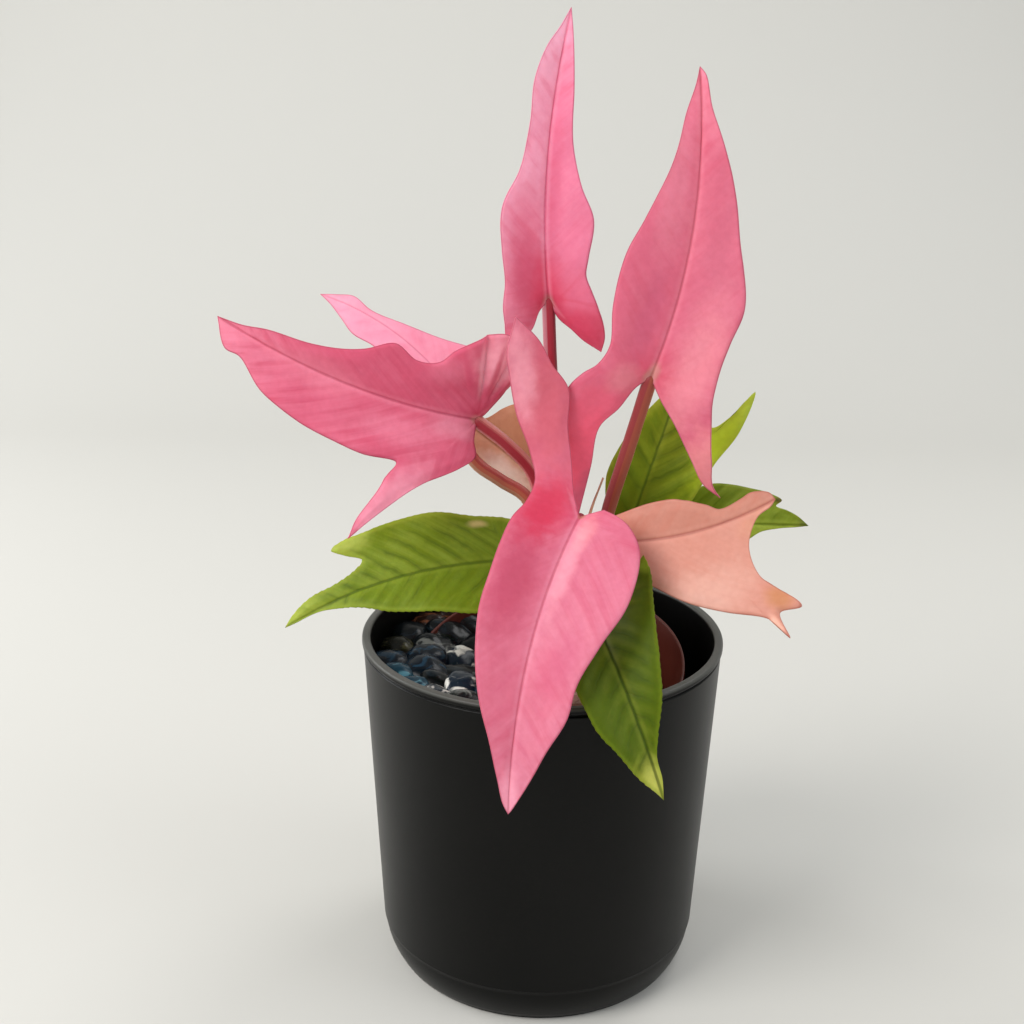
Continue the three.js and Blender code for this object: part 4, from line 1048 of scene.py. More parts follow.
@dataclass(frozen=True)
class PlasticFinish:
    """Moulded plastic with a fine grain and faint scuffs, with a paler colour painted above lip_height in
    metres as a highlight on the lip.
    """

    body: int
    scuff: int
    roughness: float
    grain_depth: float
    dust: float
    shine: float = 0.5
    # lip is the paler colour painted above lip_height, a highlight where light falls on the lip.
    lip: int = 0x000000
    lip_height: float = 10.0

    def build(self, name: str) -> bpy.types.Material:
        """Makes the material, read in the piece's own frame."""
        sketch = ShaderSketch(name)
        place = sketch.place()
        cloud = sketch.noise(place, 26.0, 4.0)
        rubbed = sketch.noise(sketch.stretched(place, (1.0, 1.0, 0.25)), 160.0, 5.0, 0.6)
        colour = sketch.mix(sketch.ramp(cloud, 0.35, 0.75, self.dust), self.body, self.scuff)
        colour = sketch.mix(sketch.ramp(rubbed, 0.62, 0.78, self.dust), colour, self.scuff)
        # Paints the lip colour above lip_height as a highlight where light falls on the lip.
        painted_lip_highlight = sketch.ramp(sketch.parts(place)[2], self.lip_height, self.lip_height + 0.0012)
        colour = sketch.mix(painted_lip_highlight, colour, self.lip)
        sketch.relief(sketch.noise(place, 2600.0, 3.0), 0.5, self.grain_depth)
        rough = sketch.total(self.roughness - 0.05, (cloud, 0.1))
        sketch.dress(Base_Color=colour, Roughness=rough, Specular_IOR_Level=self.shine)
        return sketch.material


class StoneKind(Enum):
    """Tumbled stones by colour: ground and streak."""

    NIGHT = (0x05080A, 0x101A20)
    NAVY = (0x06101A, 0x1A3446)
    TEAL = (0x123646, 0x5A8C9C)
    SNOW = (0x101C28, 0xD0CEC6)
    OLIVE = (0x12120A, 0x3C3A26)
    AMBER = (0x1A0E08, 0x5A3420)
    ASH = (0x0E1214, 0x6C6E6A)
    BLUSH = (0xA87C70, 0xDCBCAC)

    @property
    def ground(self) -> tuple[float, ...]:
        """The stone's main colour, linear."""
        return linear_colour(self.value[0])[:3]

    @property
    def streak(self) -> tuple[float, ...]:
        """The colour of its bands, linear."""
        return linear_colour(self.value[1])[:3]


@dataclass(frozen=True)
class StoneFinish:
    """Polished, marbled stone with a wet gloss."""

    def build(self, name: str) -> bpy.types.Material:
        """Makes the material. It reads the mesh's "ground" and "streak" vectors."""
        sketch = ShaderSketch(name)
        place = sketch.place()
        bands = sketch.noise(sketch.stretched(place, (1.0, 1.3, 2.4)), 110.0, 6.0, 1.8)
        flecks = sketch.noise(place, 900.0, 3.0)
        share = sketch.ramp(bands, 0.5, 0.66)
        colour = sketch.mix(share, sketch.stored("ground"), sketch.stored("streak"))
        colour = sketch.mix(sketch.ramp(flecks, 0.62, 0.8, 0.35), colour, 0x0A0C0E)
        sketch.relief(sketch.noise(place, 240.0, 3.0), 0.25, 0.0006)
        sketch.dress(Base_Color=colour, Roughness=0.24, Specular_IOR_Level=0.14)
        return sketch.material


@dataclass(frozen=True)
class SoilFinish:
    """Damp potting soil with fibres and paler bits."""

    def build(self, name: str) -> bpy.types.Material:
        """Makes the material, read in the piece's own frame."""
        sketch = ShaderSketch(name)
        place = sketch.place()
        lumps = sketch.noise(place, 260.0, 6.0)
        bits = sketch.noise(sketch.stretched(place, (1.0, 2.6, 1.0)), 620.0, 4.0, 1.0)
        colour = sketch.mix(sketch.ramp(lumps, 0.3, 0.7), 0x1C130E, 0x4A3526)
        colour = sketch.mix(sketch.ramp(bits, 0.6, 0.72, 0.7), colour, 0x8A6C4C)
        sketch.relief(sketch.maths("ADD", lumps, bits), 0.9, 0.0012)
        sketch.dress(Base_Color=colour, Roughness=0.92, Specular_IOR_Level=0.2)
        return sketch.material


# ---- Sub-assemblies ----


@dataclass
class Blade:
    """One arrowhead blade: two joined half grids on the leaf's bent surface, with veins in relief."""

    shape: LeafShape
    look: BladeLook
    spans: int = 12
    columns: int = 18
    crowding: float = 1.25
    thickness: float = 0.62
    thin_edge: float = 0.5
    tooth_pitch: float = 2.3
    outline_step: float = 0.2

    def build(self) -> bpy.types.Object:
        """Makes the blade and returns its piece."""
        bm = bmesh.new()
        for name in ("leaf", "vein", "zone", "flat"):
            bm.verts.layers.float_vector.new(name)
        bm.verts.layers.float.new("rise")
        bm.verts.layers.deform.verify()
        halves = {left: self._ribs(left) for left in (True, False)}
        self.outline = self._outline(halves)
        for left, ribs in halves.items():
            self._add_half(bm, ribs, left)
        bmesh.ops.remove_doubles(bm, verts=bm.verts, dist=WELD)
        bm.normal_update()
        rise = bm.verts.layers.float["rise"]
        for vert in bm.verts:
            vert.co += vert.normal * (vert[rise] * MM)
        bm.verts.layers.float.remove(rise)
        name = self.shape.name + "_blade"
        upper = BladeFinish(self.look).build(name + "_upper")
        under = BladeFinish(self.look, underside=True).build(name + "_under")
        node = "blade_" + self.shape.name
        piece = ready(name, bm, (upper, under), (node,))
        piece.vertex_groups.new(name="body")
        wall = piece.modifiers.new("wall", "SOLIDIFY")
        wall.thickness = self.thickness * MM
        wall.offset = 0.0
        wall.vertex_group = "body"
        wall.thickness_vertex_group = self.thin_edge
        wall.material_offset = 1
        return piece

    def _ribs(self, left: bool) -> list[Rib]:
        """Returns the fine ribs of one half, with the saw edge of a toothed leaf."""
        ribs = self.shape.fine_ribs(left, self.spans)
        if not self.look.teeth:
            return ribs
        result = []
        for run, rib in zip(running_lengths([rib.edge for rib in ribs]), ribs):
            out = rib.edge - rib.root
            depth = self.look.teeth * (run / self.tooth_pitch % 1.0) * smooth(out.length, 1.0, 5.0)
            result.append(Rib(rib.root, rib.edge + out.normalized() * depth))
        return result

    def _outline(self, halves: dict[bool, list[Rib]]) -> kdtree.KDTree:
        """Returns a search tree of close points on the flat outline, lobes' inner edges too."""
        points = []
        first_behind = len(self.shape.stations) * self.spans
        for ribs in halves.values():
            for line in ([rib.edge for rib in ribs], [rib.root for rib in ribs[first_behind:]]):
                for a, b in zip(line, line[1:]):
                    count = max(math.ceil((b - a).length / self.outline_step), 1)
                    points += [a.lerp(b, i / count) for i in range(count)]
        tree = kdtree.KDTree(len(points))
        for index, point in enumerate(points):
            tree.insert(point, index)
        tree.balance()
        return tree

    def _add_half(self, bm: Form, ribs: list[Rib], left: bool) -> None:
        """Adds the grid of one half, mapped onto the bent surface."""
        rows = len(ribs) - 1
        grid = bmesh.ops.create_grid(bm, x_segments=self.columns, y_segments=rows, size=1.0)["verts"]
        for vert in grid:
            row = round((vert.co.y + 1.0) / 2.0 * rows)
            share = ((vert.co.x + 1.0) / 2.0) ** self.crowding
            self._place(bm, vert, ribs[row], share, left)
        if not left:
            faces = list({f for v in grid for f in v.link_faces})
            bmesh.ops.reverse_faces(bm, faces=faces)

    def _place(self, bm: Form, vert: bmesh.types.BMVert, rib: Rib, share: float, left: bool) -> None:
        """Puts one grid vertex on the blade and stores what its finish reads there."""
        flat = rib.root.lerp(rib.edge, share)
        if left:
            flat.y = max(flat.y, 0.0)
        vert.co = self.shape.point(flat.x, flat.y) * MM
        edge = self.outline.find(flat)[2]
        forward, from_axis, behind = self._vein_axes(flat, left)
        phase = forward - self.look.vein_slant * from_axis - 0.012 * from_axis**2
        layers = bm.verts.layers.float_vector
        off_rib = from_axis + (1.6 * behind + 0.12 * forward if behind else 0.0)
        vert[layers["leaf"]] = (flat.x / self.shape.frame.length, off_rib, edge)
        vert[layers["vein"]] = (phase, 1.0 if left else -1.0, share)
        vert[layers["zone"]] = (flat.length, behind, 0.0)
        vert[layers["flat"]] = flat
        vert[bm.verts.layers.float["rise"]] = self._rise(flat, phase, off_rib, edge, share, left)
        vert[bm.verts.layers.deform.active][0] = smooth(edge, 0.0, 3.0)

    def _vein_axes(self, flat: Vector, left: bool) -> Triple:
        """Measures a flat point from the midrib, or from the lobe's rib where that is nearer.

        Args:
            flat: the point of the outline.
            left: whether it is in the left half.

        Returns:
            The distance along the rib, the distance from it, and how far behind the junction the
            point lies as a share of the lobe.
        """
        lobe_tip = Vector((*self.shape.lobe(left)[-1], 0.0))
        reach = max(lobe_tip.length, 1.0)
        axis = lobe_tip / reach
        along_lobe = flat.dot(axis)
        if along_lobe <= flat.x:
            return flat.x, abs(flat.y), 0.0
        aside = abs(axis.x * flat.y - axis.y * flat.x)
        return along_lobe, aside, smooth((along_lobe - flat.x) / reach, 0.0, 1.2)

    def _rise(
        self, flat: Vector, phase: float, off_rib: float, edge: float, share: float, left: bool
    ) -> float:
        """Returns how far, in millimetres, the surface stands off its smooth form at a point."""
        look = self.look
        groove = sum(d * math.exp(-(((off_rib - at) / width) ** 2)) for d, at, width in MIDRIB_SECTION)
        place = phase / look.vein_spacing + (VEIN_STAGGER if left else 0.0)
        puffed = look.puff * (math.sin(math.pi * place) ** 2 - 0.5)
        puffed *= smooth(edge, 0.0, 4.0) * smooth(off_rib, 0.5, 4.0)
        seed = len(self.shape.name) * 3.7
        wavy = noise.noise(Vector((flat.x / 13.0, flat.y / 9.0, seed))) * look.wave * (0.4 + 1.2 * share)
        curl = look.curl * (1.0 - smooth(edge, 0.0, 3.5))
        pleated = 0.0 if left else self._pleat(flat)
        return (groove + puffed + wavy + pleated - curl) * smooth(self.shape.frame.length - flat.x, 0.0, 8.0)

    def _pleat(self, flat: Vector) -> float:
        """Returns the rise of the folds that fan out from the junction."""
        first, last, number, depth = self.look.pleats
        bearing = math.degrees(math.atan2(abs(flat.y), flat.x))
        share = min(max((bearing - first) / (last - first), 0.0), 1.0)
        sharp = abs(math.sin(math.pi * number * share)) ** 0.6 - 0.5
        return depth * math.sin(math.pi * share) * sharp * smooth(flat.length, 3.0, 16.0)


@dataclass
class Petiole:
    """One leaf's stalk, from its sheath in the soil to the rib under its blade."""

    shape: LeafShape
    finish: StalkFinish
    sides: int = 18
    steps: int = 64
    sheath_radius: float = 2.9
    sheath_bottom: float = 78.0
    sheath_upright: float = 92.0
    knot_scale: float = 0.12
    knot_size: float = 0.035
    rib_reach: float = 0.72
    rib_steps: int = 24
    rib_start: float = 0.62
    rib_end: float = 0.22

    def build(self) -> bpy.types.Object:
        """Makes the stalk and returns its piece."""
        stalk = self.shape.stalk
        root_x, root_y = stalk.root
        bottom = (root_x, root_y, self.sheath_bottom)
        upright = (root_x, root_y, self.sheath_upright)
        body = SmoothRoute([bottom, upright, *stalk.via, self._seat()]).spread(self.steps)
        rib, tapering = self._rib()
        name = self.shape.name + "_petiole"
        bm = wrapped_tube(body + rib, [self._radius(p) for p in body] + tapering, self.sides)
        node = "petiole_" + self.shape.name
        return ready(name, bm, (self.finish.build(name),), (node,))

    def _radius(self, point: Vector) -> float:
        """Returns the stalk's radius at a point: wider in the sheath, a little ridged above it."""
        flare = 1.0 - smooth(point.z, *FLARE_BAND)
        knots = 1.0 + self.knot_size * noise.noise(point * self.knot_scale)
        return lerp(self.shape.stalk.radius, self.sheath_radius, flare) * knots

    def _down(self, x: float) -> Vector:
        """Returns the way out of the blade's underside at a place on the midrib."""
        forward = self.shape.point(x + 0.5, 0.0) - self.shape.point(x - 0.5, 0.0)
        return self.shape.frame.left.cross(forward).normalized()

    def _seat(self) -> Vector:
        """Returns the point under the junction where the stalk meets the blade."""
        return self.shape.point(0.0, 0.0) + self._down(0.0) * (0.5 + 0.55 * self.shape.stalk.radius)

    def _rib(self) -> tuple[list[Vector], list[float]]:
        """Returns the centres and radii of the tapering rib that carries on under the midrib."""
        centres, sizes = [], []
        for step in range(1, self.rib_steps + 1):
            share = step / self.rib_steps
            x = self.rib_reach * self.shape.frame.length * share**1.3
            taper = 0.85 * smooth(share, 0.0, 0.75) + 0.15 * share
            size = lerp(self.shape.stalk.radius * self.rib_start, self.rib_end, taper)
            centres.append(self.shape.point(x, 0.0) + self._down(x) * (0.35 + 0.95 * size))
            sizes.append(size)
        return centres, sizes


@dataclass
class YoungLeaf:
    """A rolled new leaf, still a spike, above a clasping sheath."""

    route: tuple[Triple, ...] = (
        (6, -1, 78), (6, -1, 92), (8, -0.5, 122), (12, 0.5, 145), (15.2, 1, 160), (18.8, 2, 170.5),
    )
    radius: float = 1.2
    end_radius: float = 0.35
    sheath_radius: float = 1.8
    seam_depth: float = 0.16
    seam_width: float = 0.07
    steps: int = 60
    sides: int = 24

    def build(self) -> bpy.types.Object:
        """Makes the spike and returns its piece."""
        centres = SmoothRoute(self.route).spread(self.steps)
        radii = []
        for step, centre in enumerate(centres):
            flare = 1.0 - smooth(centre.z, *FLARE_BAND)
            taper = lerp(self.radius, self.end_radius, smooth(2.0 * step / self.steps - 1.0))
            radii.append(lerp(taper, self.sheath_radius, flare))
        bm = wrapped_tube(centres, radii, self.sides)
        self._roll(bm)
        finish = StalkFinish(0xB4625A, 0xD8A888, 0xE6C8A0, 0xE0BC98, 0xC8B48A).build("young_leaf_spike")
        return ready("young_leaf_spike", bm, (finish,), ("young_leaf",))

    def _roll(self, bm: Form) -> None:
        """Presses the spiral seam of the rolled blade into the spike."""
        bm.normal_update()
        stalk = bm.verts.layers.float_vector["stalk"]
        for vert in bm.verts:
            cosine, sine, length = vert[stalk]
            turn = math.atan2(sine, cosine) / (2.0 * math.pi) + length * 1.1
            seam = math.exp(-(((turn % 1.0 - 0.5) / self.seam_width) ** 2))
            vert.co -= vert.normal * (self.seam_depth * MM * seam)


@dataclass
class Cachepot:
    """The matt black outer pot: a tapered cup with a rounded lip, a fine groove and a drawn-in foot."""

    height: float = 117.3
    rim_radius: float = 60.0
    wall: float = 2.8
    floor: float = 3.0
    lip_height: float = 2.9
    groove_depth: float = 0.6
    foot_height: float = 13.8
    foot_top: float = 54.1
    foot_bottom: float = 50.0
    foot_swell: float = 1.0
    foot_step: float = 0.45
    stand_height: float = 1.2
    stand_radius: float = 48.6
    edge: float = 0.5
    steps: int = 192

    def build(self) -> bpy.types.Object:
        """Makes the pot and returns its piece."""
        bm = turned(rounded(self._profile()), self.steps)
        finish = PlasticFinish(
            0x040403, 0x0E0D0B, roughness=0.36, grain_depth=0.00006, dust=0.3, shine=0.15,
            # The grey lip colour is a painted highlight on the black pot's lip.
            lip=0x50504C, lip_height=0.1159,
        ).build("black_cachepot")
        return ready("black_cachepot", bm, (finish,), ("cachepot",))

    def _profile(self) -> list[Triple]:
        """Returns the corners of the pot's section, each with its cut."""
        e = self.edge
        groove = self.height - self.lip_height
        wall = self.rim_radius - e
        inner = self.rim_radius - self.wall
        corners = [(0.0, 0.8, 0.0), (self.stand_radius - 4.0, 0.8, 0.6), (self.stand_radius - 5.0, 0.0, 0.3)]
        corners += [(self.stand_radius, 0.0, 0.5), (self.stand_radius, self.stand_height, 0.15)]
        for t in (step / 8 for step in range(9)):
            radius = lerp(self.foot_bottom, self.foot_top, t) + 4.0 * self.foot_swell * t * (1.0 - t)
            corners.append((radius - self.foot_step, lerp(self.stand_height, self.foot_height, t), 0.0))
        corners.append((self.foot_top, self.foot_height + 0.1, 0.12))
        tenths = [step / 10 for step in range(1, 10)]
        corners += [
            (lerp(self.foot_top, wall, t), lerp(self.foot_height, groove - e, t), 0.0) for t in tenths
        ]
        corners += [
            (wall, groove - e, 0.2), (wall - self.groove_depth, groove, 0.15), (wall, groove + e, 0.2),
            (self.rim_radius, groove + 2.0 * e, 0.3), (self.rim_radius, self.height, 1.2),
            (inner, self.height, 0.9),
        ]
        inner_foot = self.foot_top - self.wall
        corners += [
            (lerp(inner, inner_foot, t), lerp(self.height, self.foot_height, t), 0.0) for t in tenths
        ]
        return corners + [
            (inner_foot, self.foot_height, 1.5),
            (self.stand_radius - self.wall, self.floor, 3.0),
            (0.0, self.floor, 0.0),
        ]


@dataclass
class NurseryPot:
    """The thin maroon growing pot, leaning towards the front on its bed of stones."""

    rim_centre: Triple = (2.0, -4.5, 107.0)
    lean_front: float = 14.0
    lean_side: float = -4.0
    rim_radius: float = 45.0
    base_radius: float = 36.0
    height: float = 68.0
    wall: float = 1.4
    rim_wall: float = 0.8
    band_height: float = 3.0
    band_depth: float = 0.5
    steps: int = 144

    @property
    def place(self) -> Matrix:
        """The pot's lean and place, in metres, from its own upright frame."""
        lean = Euler((math.radians(self.lean_front), math.radians(self.lean_side), 0.0))
        turn = Matrix.Rotation(lean.x, 4, "X") @ Matrix.Rotation(lean.y, 4, "Y")
        return Matrix.Translation(Vector(self.rim_centre) * MM) @ turn

    def inside(self, depth: float) -> float:
        """Returns the pot's inner radius at a depth below its rim."""
        slope = (self.rim_radius - self.base_radius) / self.height
        return self.rim_radius - self.wall - slope * depth

    def build(self) -> bpy.types.Object:
        """Makes the pot and returns its piece."""
        band = self.rim_radius + self.band_depth
        deep = self.height - self.wall
        corners = [
            (0.0, -self.height, 0.0), (self.base_radius, -self.height, 1.5),
            (lerp(self.rim_radius, self.base_radius, 0.5), -self.height * 0.5, 0.0),
            (self.rim_radius, -self.band_height, 0.3), (band, -self.band_height, 0.4), (band, 0.0, 0.5),
            (band - self.rim_wall, 0.0, 0.3), (self.inside(6.0), -6.0, 0.0),
            (self.inside(deep * 0.5), -deep * 0.5, 0.0), (self.inside(deep), -deep, 1.0), (0.0, -deep, 0.0),
        ]
        bm = turned(rounded(corners), self.steps)
        bmesh.ops.transform(bm, matrix=self.place, verts=bm.verts)
        finish = PlasticFinish(
            0x4C1A10, 0x6A3024, roughness=0.42, grain_depth=0.0001, dust=0.4, shine=0.25
        ).build("maroon_growing_pot")
        return ready("maroon_growing_pot", bm, (finish,), ("nursery_pot",))


@dataclass
class Soil:
    """Potting soil in the growing pot, with crumbs on its uneven top."""

    pot: NurseryPot
    below_rim: float = 20.0
    dip: float = 1.5
    gap: float = 0.3
    rings: int = 26
    steps: int = 110
    crumbs: int = 420
    crumb_sizes: tuple[float, float] = (0.4, 1.5)
    seed: int = 5

    def build(self) -> bpy.types.Object:
        """Makes the soil and returns its piece."""
        bottom = self.pot.height - self.pot.wall - self.gap
        rim = self.pot.inside(self.below_rim) - self.gap
        edge = -self.below_rim - self.dip
        profile = [(0.0, -bottom), (self.pot.inside(bottom) - self.gap, -bottom), (rim, edge)]
        for i in range(1, self.rings + 1):
            profile.append((rim * (1.0 - i / self.rings), edge + self.dip * smooth(i, 0, 7)))
        bm = turned([Vector((r, 0.0, z)) for r, z in profile], self.steps)
        for vert in bm.verts:
            if vert.co.z > -(self.below_rim + self.dip + 0.5) * MM:
                lump = noise.fractal(vert.co * 160.0, 1.0, 2.0, 5)
                inward = smooth(rim * MM - vert.co.xy.length, 0.0, 0.004)
                vert.co.z += lump * 0.0013 * inward
        self._scatter(bm, rim)
        bmesh.ops.transform(bm, matrix=self.pot.place, verts=bm.verts)
        return ready("potting_soil", bm, (SoilFinish().build("potting_soil"),), ("soil",))

    def _scatter(self, bm: Form, rim: float) -> None:
        """Strews crumbs over the top."""
        pick = random.Random(self.seed)
        noise.seed_set(self.seed)
        for _ in range(self.crumbs):
            reach = (rim - 2.5) * math.sqrt(pick.random())
            bearing = pick.uniform(0.0, 2.0 * math.pi)
            size = pick.uniform(*self.crumb_sizes)
            height = -self.below_rim + size * 0.2
            spot = Vector((reach * math.cos(bearing), reach * math.sin(bearing), height))
            turn = Euler((pick.uniform(0, 3), pick.uniform(0, 3), pick.uniform(0, 3))).to_matrix().to_4x4()
            squash = Matrix.Diagonal((1.0, pick.uniform(0.5, 1.0), pick.uniform(0.4, 0.9), 1.0))
            matrix = Matrix.Translation(spot * MM) @ turn @ squash
            made = bmesh.ops.create_icosphere(bm, subdivisions=1, radius=size * MM, matrix=matrix)
            for vert in made["verts"]:
                vert.co += noise.noise_vector(vert.co * 900.0) * 0.0002


@dataclass
class PebbleHeap:
    """Tumbled stones round the growing pot and over its left rim, down to a bed on the right."""

    size: float = 7.4
    spacing: float = 12.2
    seed: int = 11
    front_rise: float = 6.0
    wall_at_foot: float = 51.0
    wall_at_rim: float = 56.9
    foot_height: float = 13.8
    rim_height: float = 117.3
    # Arcs of stones: radius, first and last bearing in degrees, and height.
    rings: tuple[tuple[float, float, float, float], ...] = (
        (50.0, 84.0, 285.0, 104.0), (39.0, 128.0, 248.0, 104.0), (27.5, 142.0, 226.0, 101.0),
    )
    lower_rings: tuple[tuple[float, float, float, float], ...] = (
        (34.0, 134.0, 240.0, 95.0), (22.0, 150.0, 222.0, 92.0), (15.0, 165.0, 215.0, 90.5),
    )
    lower_spacing: float = 10.5
    layers: int = 8
    layer_top: float = 95.0
    layer_step: float = 8.0
    layer_count: int = 24
    cover: float = 18.0
    bank_top: float = 96.0
    bed_top: float = 46.0
    slope: float = 48.0
    shown_above: float = 100.0
    # Least half size of a stone and how much more it may be, over size, along each of its axes.
    stretches: tuple[tuple[float, float], ...] = ((1.05, 0.3), (0.85, 0.3), (0.62, 0.2))
    weights: tuple[tuple[StoneKind, float], ...] = (
        (StoneKind.NIGHT, 5.0), (StoneKind.NAVY, 4.0), (StoneKind.TEAL, 0.8), (StoneKind.SNOW, 0.3),
        (StoneKind.OLIVE, 1.4), (StoneKind.AMBER, 0.3), (StoneKind.ASH, 0.6),
    )
    # Places, in millimetres from the pot's axis, whose nearest stone has a colour of its own. The near-black
    # NIGHT stones at the back left are also painted shade, for the shadow that falls there.
    chosen: tuple[tuple[float, float, StoneKind], ...] = (
        (-41.0, -20.0, StoneKind.TEAL), (-29.5, 4.0, StoneKind.SNOW), (-28.5, -36.6, StoneKind.SNOW),
        (-52.0, 14.0, StoneKind.OLIVE), (-36.0, 37.0, StoneKind.AMBER), (-21.0, -42.0, StoneKind.ASH),
        (10.5, -44.0, StoneKind.BLUSH), (-39.0, 21.0, StoneKind.NIGHT), (-39.5, 47.0, StoneKind.NIGHT),
    )
    spot_reach: float = 7.5

    def build(self) -> bpy.types.Object:
        """Makes the heap and returns its piece."""
        bm = bmesh.new()
        for name in ("ground", "streak"):
            bm.verts.layers.float_vector.new(name)
        state = self.seed
        kinds = random.Random(self.seed)

        def draw() -> float:
            """Returns the next number of the stones' own congruential stream, from 0 to 1."""
            nonlocal state
            state = (state * 1664525 + 1013904223) % 4294967296
            return state / 4294967296

        for centre in self._top_stones() + self._lower_stones():
            kind = self._kind(centre, kinds)
            self._add_stone(bm, centre, kind, draw)
        return ready("pebble_heap", bm, (StoneFinish().build("pebble_heap"),), ("pebbles",))

    def _kind(self, centre: Vector, kinds: random.Random) -> StoneKind:
        """Returns a stone's colour: the one chosen for its place, or else one by chance."""
        names, weights = zip(*self.weights)
        drawn = kinds.choices(names, weights)[0]
        if centre.z < self.shown_above:
            return drawn
        away, kind = min((math.dist(centre.xy, (x, y)), kind.name) for x, y, kind in self.chosen)
        return StoneKind[kind] if away < self.spot_reach else drawn

    def _arc(self, radius: float, first: float, last: float, height: float, gap: float) -> list[Vector]:
        """Returns points about a gap apart on an arc between two bearings."""
        count = round(radius * math.radians(last - first) / gap)
        angles = (math.radians(lerp(first, last, i / count)) for i in range(count + 1))
        return [Vector((radius * math.cos(a), radius * math.sin(a), height)) for a in angles]

    def _top_stones(self) -> list[Vector]:
        """Returns the centres of the stones on top of the heap."""
        centres = []
        for ring in self.rings:
            for centre in self._arc(*ring, self.spacing):
                centre.z += self.front_rise * max(-centre.y / ring[0], 0.0) ** 2
                centres.append(centre)
        return centres

    def _lower_stones(self) -> list[Vector]:
        """Returns the centres of the stones under the top ones and down the slopes to the bed."""
        centres = []
        for layer in range(self.layers):
            height = self.layer_top - self.layer_step * layer
            radius = self._wall(height) - 0.95 * self.size
            for i in range(self.layer_count):
                bearing = 360.0 * (i + 0.5 * (layer % 2)) / self.layer_count
                if 0.0 <= self._top(bearing) - height <= self.cover:
                    angle = math.radians(bearing)
                    centres.append(Vector((radius * math.cos(angle), radius * math.sin(angle), height)))
        return centres + [c for ring in self.lower_rings for c in self._arc(*ring, self.lower_spacing)]

    def _top(self, bearing: float) -> float:
        """Returns the height of the heap's top beside the wall at a bearing in degrees."""
        _, first, last, _ = self.rings[0]
        past = max(bearing - last, first - bearing, 0.0)
        return lerp(self.bank_top, self.bed_top, smooth(past, 0.0, self.slope))

    def _wall(self, height: float) -> float:
        """Returns the outer pot's inner radius at a height."""
        share = (height - self.foot_height) / (self.rim_height - self.foot_height)
        return lerp(self.wall_at_foot, self.wall_at_rim, share)

    def _add_stone(self, bm: Form, centre: Vector, kind: StoneKind, draw: Callable[[], float]) -> None:
        """Adds one stone, flattened where it lies against the wall."""
        stretch = [least + more * draw() for least, more in self.stretches]
        turn = Matrix.Rotation(0.7 * draw(), 4, "X") @ Matrix.Rotation(0.7 * draw(), 4, "Y")
        turn = turn @ Matrix.Rotation(6.3 * draw(), 4, "Z")
        matrix = Matrix.Translation(centre) @ turn @ Matrix.Diagonal((*stretch, 1.0))
        fineness = 4 if centre.z > self.shown_above else 3
        made = bmesh.ops.create_icosphere(bm, subdivisions=fineness, radius=self.size, matrix=matrix)
        ground, streak = (bm.verts.layers.float_vector[n] for n in ("ground", "streak"))
        for vert in made["verts"]:
            out = (vert.co - centre).normalized()
            vert.co += out * (0.9 * noise.noise(vert.co * 0.16) + 0.3 * noise.noise(vert.co * 0.45))
            limit = self._wall(vert.co.z) - 0.4
            reach = vert.co.xy.length
            if reach > limit:
                vert.co.xy *= limit / reach
            vert.co *= MM
            vert[ground] = kind.ground
            vert[streak] = kind.streak


# ---- Studio ----


@dataclass(frozen=True)
class Viewpoint:
    """The camera, given by its place in millimetres, its turns in degrees and its focal length."""

    place: Triple = (0.0, -463.4, 313.5)
    down: float = 18.45
    yaw: float = -1.31
    roll: float = 0.68
    focal_length: float = 1500.0 / 1024.0 * 36.0

    def build(self) -> None:
        """Makes the camera and gives it to the scene."""
        down, yaw, roll = (math.radians(a) for a in (self.down, self.yaw, self.roll))
        ahead = Vector((math.sin(yaw) * math.cos(down), math.cos(yaw) * math.cos(down), -math.sin(down)))
        level = ahead.cross(UP).normalized()
        top = level.cross(ahead)
        right = level * math.cos(roll) + top * math.sin(roll)
        above = top * math.cos(roll) - level * math.sin(roll)
        data = bpy.data.cameras.new("viewpoint")
        data.sensor_width = 36.0
        data.lens = self.focal_length
        data.clip_start = 0.01
        camera = in_scene("viewpoint", data)
        turn = Matrix((right, above, -ahead)).transposed().to_4x4()
        camera.matrix_world = Matrix.Translation(Vector(self.place) * MM) @ turn
        bpy.context.scene.camera = camera


@dataclass(frozen=True)
class Lamp:
    """A large soft light that points at the plant."""

    name: str
    place: Triple
    aim: Triple
    width: float
    power: float
    colour: Triple

    def build(self) -> None:
        """Makes the light."""
        data = bpy.data.lights.new(self.name, "AREA")
        data.shape = "DISK"
        data.size = self.width
        data.energy = self.power
        data.color = self.colour
        lamp = in_scene(self.name, data)
        turn = (Vector(self.aim) - Vector(self.place)).to_track_quat("-Z", "Y").to_matrix().to_4x4()
        lamp.matrix_world = Matrix.Translation(self.place) @ turn


